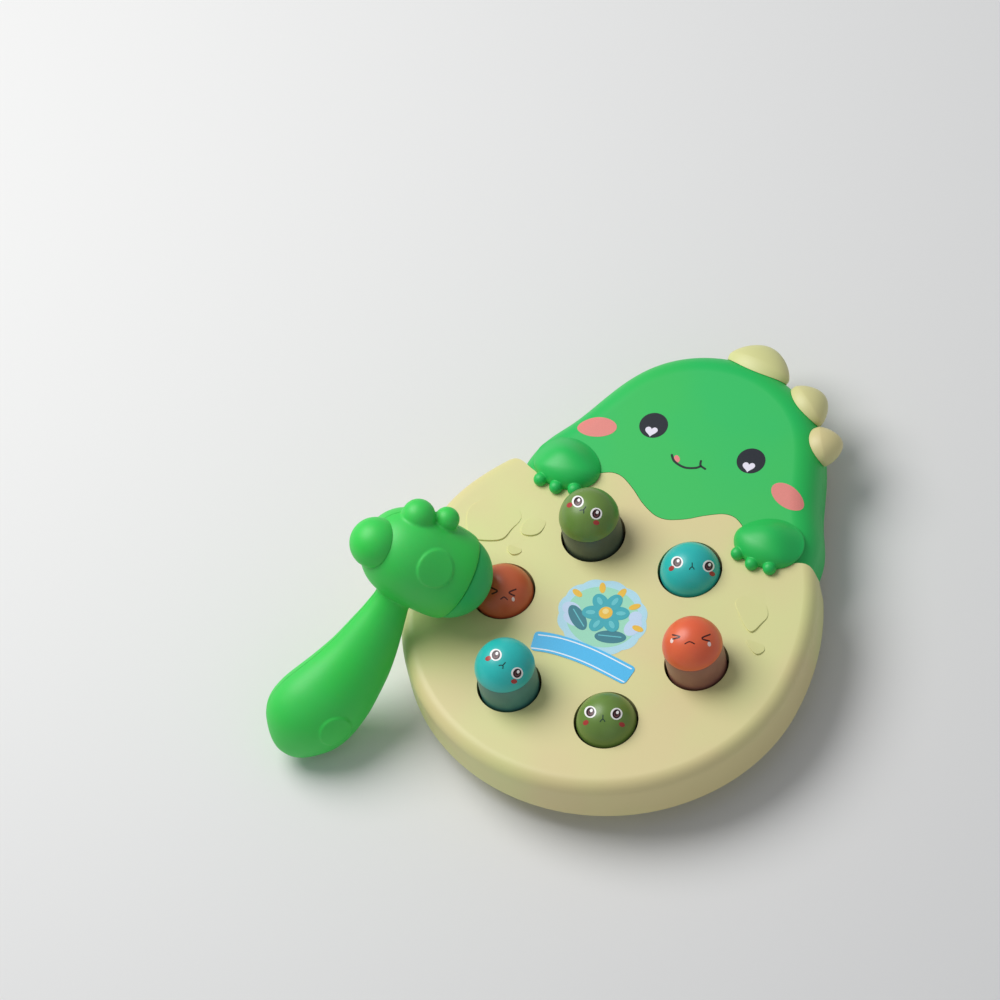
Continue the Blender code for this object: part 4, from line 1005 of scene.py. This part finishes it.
# Self-tapping screws with a pan head and a cross recess. Their axis is Z, the head's underside at zero
screw = {"radius": 1.4 * mm, "core": 1.05 * mm, "pitch": 1.1 * mm, "thread": 0.9 * mm, "neck": 0.8 * mm,
         "tip": 1.2 * mm, "tipShare": 0.8, "headRadius": 3 * mm, "headHeight": 1.6 * mm, "rim": 0.1 * mm,
         "dome": [(0.62, 0), (0.86, 0.25 * mm), (0.98, 0.7 * mm), (1, 1.1 * mm)],
         "slotWidth": 0.8 * mm, "slotDepth": 0.9 * mm, "slotReach": 1.15, "hammerLength": 14 * mm}


def screwPiece(name, length, place, body, node):
    head, low, rim = screw["headRadius"], -screw["headHeight"], screw["rim"]
    core, thread = screw["core"], screw["thread"]
    profile = [(0, low)] + [(head * share, low + rise) for share, rise in screw["dome"]]
    profile += [(head, -rim), (head - rim, 0), (core, 0)]
    for turn in range(int((length - 2 * screw["tip"]) / screw["pitch"])):
        start = screw["neck"] + turn * screw["pitch"]
        profile += [(core, start), (screw["radius"], start + thread / 2), (core, start + thread)]
    profile += [(core * screw["tipShare"], length - screw["tip"]), (0, length)]
    piece = newPiece(name, turnProfile(profile, steps=48), "zincSteel")
    slots = bmesh.new()
    bar = Matrix.Diagonal((head * screw["slotReach"], screw["slotWidth"], 2 * screw["slotDepth"], 1))
    for turn in (0, 90):
        cross = Matrix.Rotation(math.radians(turn), 4, "Z") @ Matrix.Translation((0, 0, low))
        bmesh.ops.create_cube(slots, size=1, matrix=cross @ bar)
    tool = newPiece("tool", slots, "zincSteel")
    merge = tool.modifiers.new("merge", "REMESH")
    merge.mode = "VOXEL"
    merge.voxel_size = 0.12 * mm
    settle(tool)
    carve(piece, tool)
    piece.data.transform(place)
    smoothPiece(piece, 30)
    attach(piece, body)
    standFor(piece, "zinc_screw", node)


for index in range(1, 8):
    low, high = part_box(f"base_screw_{index}")
    place = ((low.x + high.x) / 2, (low.y + high.y) / 2, low.z + screw["headHeight"])
    screwPiece(f"boardScrew_{index}", high.z - low.z - screw["headHeight"], Matrix.Translation(place),
               "board", f"base_screw_{index}")
for index, y in enumerate(hammer["screws"], 1):
    screwPiece(f"hammerScrew_{index}", screw["hammerLength"],
               hammerRest @ Matrix.Translation((0, y, hammer["seat"] - hairline)),
               "hammer", f"hammer_screw_{index}")
print("screws made")


# Anti-slip pads: die-cut foam discs with three pressed rings in the face that grips
gripPad = {"radius": 7 * mm, "height": 1.5 * mm, "grooves": [2.0 * mm, 3.7 * mm, 5.4 * mm],
           "grooveDepth": 0.35 * mm, "mouthHalf": 0.35 * mm, "floorHalf": 0.15 * mm, "rim": 0.25 * mm}


def gripPadPiece(index):
    low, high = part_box(f"anti_slip_pad_{index}")
    profile = [(0, 0)]
    depth, mouthHalf, floorHalf = gripPad["grooveDepth"], gripPad["mouthHalf"], gripPad["floorHalf"]
    for radius in gripPad["grooves"]:
        profile += [(radius - mouthHalf, 0), (radius - floorHalf, depth), (radius + floorHalf, depth),
                    (radius + mouthHalf, 0)]
    edge, top, rim = gripPad["radius"], gripPad["height"], gripPad["rim"]
    profile += [(edge - rim, 0), (edge, rim), (edge, top), (0, top)]
    place = ((low.x + high.x) / 2, (low.y + high.y) / 2, low.z)
    newPiece(f"gripPad_{index}", turnProfile(profile, place, 64), "foam", "board", "foam_pad",
             [f"anti_slip_pad_{index}"])


for index in range(1, 5):
    gripPadPiece(index)
print("grip pads made")


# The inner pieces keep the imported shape: a merged copy gets softened edges and a finish
inner = {"base_plate": ("basePlate", "basePlastic", "base_plastic", "board", 0.4 * mm)}
for index in range(1, 4):
    inner[f"rocker_{index}"] = (f"rockerArm_{index}", "acetal", "acetal", f"rocker_{index}", 0.35 * mm)
    inner[f"rocker_pin_{index}"] = (f"rockerPin_{index}", "pinSteel", "pin_steel", "board", 0.3 * mm)


def innerPiece(node, name, finish, slot, body, edge):
    bm = openMesh(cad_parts[node])
    bmesh.ops.remove_doubles(bm, verts=bm.verts, dist=0.001 * mm)
    bmesh.ops.dissolve_limit(bm, angle_limit=math.radians(0.5), verts=bm.verts, edges=bm.edges)
    piece = newPiece(name, bm, finish, body, slot, [node])
    soft = piece.modifiers.new("soft edges", "BEVEL")
    soft.width = edge
    soft.segments = 2
    soft.limit_method = "ANGLE"
    soft.angle_limit = math.radians(40)


for node, details in inner.items():
    innerPiece(node, *details)
print("inner pieces finished")


studio = {"floor": "#E6E5E2", "floorDrop": 0.1 * mm, "sky": "#E9EEF8", "skyStrength": 0.36,
          "lamps": {"key": {"place": (-0.85, 0.1, 1.2), "size": 1.1, "watts": 17.5},
                    "fill": {"place": (0.9, -1.1, 0.8), "size": 1.2, "watts": 0.6}}}


def stageAndLights():
    bm = bmesh.new()
    bmesh.ops.create_grid(bm, x_segments=4, y_segments=4, size=4)
    for vert in bm.verts:
        vert.co.z -= studio["floorDrop"]
    finishes["studioFloor"] = bareMaterial("studioFloor")
    addSurface(finishes["studioFloor"], {"Base Color": toLinear(studio["floor"]), "Roughness": 0.9})
    newPiece("studioFloor", bm, "studioFloor")
    for name, lamp in studio["lamps"].items():
        light = bpy.data.lights.new(name, "AREA")
        light.shape = "DISK"
        light.size = lamp["size"]
        light.energy = lamp["watts"]
        holder = addObject(name, light)
        holder.matrix_world = Matrix.Translation(lamp["place"]) @ Vector(lamp["place"]).to_track_quat(
            "Z", "Y").to_matrix().to_4x4()
    world = bpy.data.worlds.new("studio")
    bpy.context.scene.world = world
    world.use_nodes = True
    sky = world.node_tree.nodes["Background"].inputs
    sky["Color"].default_value = toLinear(studio["sky"])
    sky["Strength"].default_value = studio["skyStrength"]
    bpy.context.scene.view_settings.view_transform = "Standard"


stageAndLights()
print("studio set")
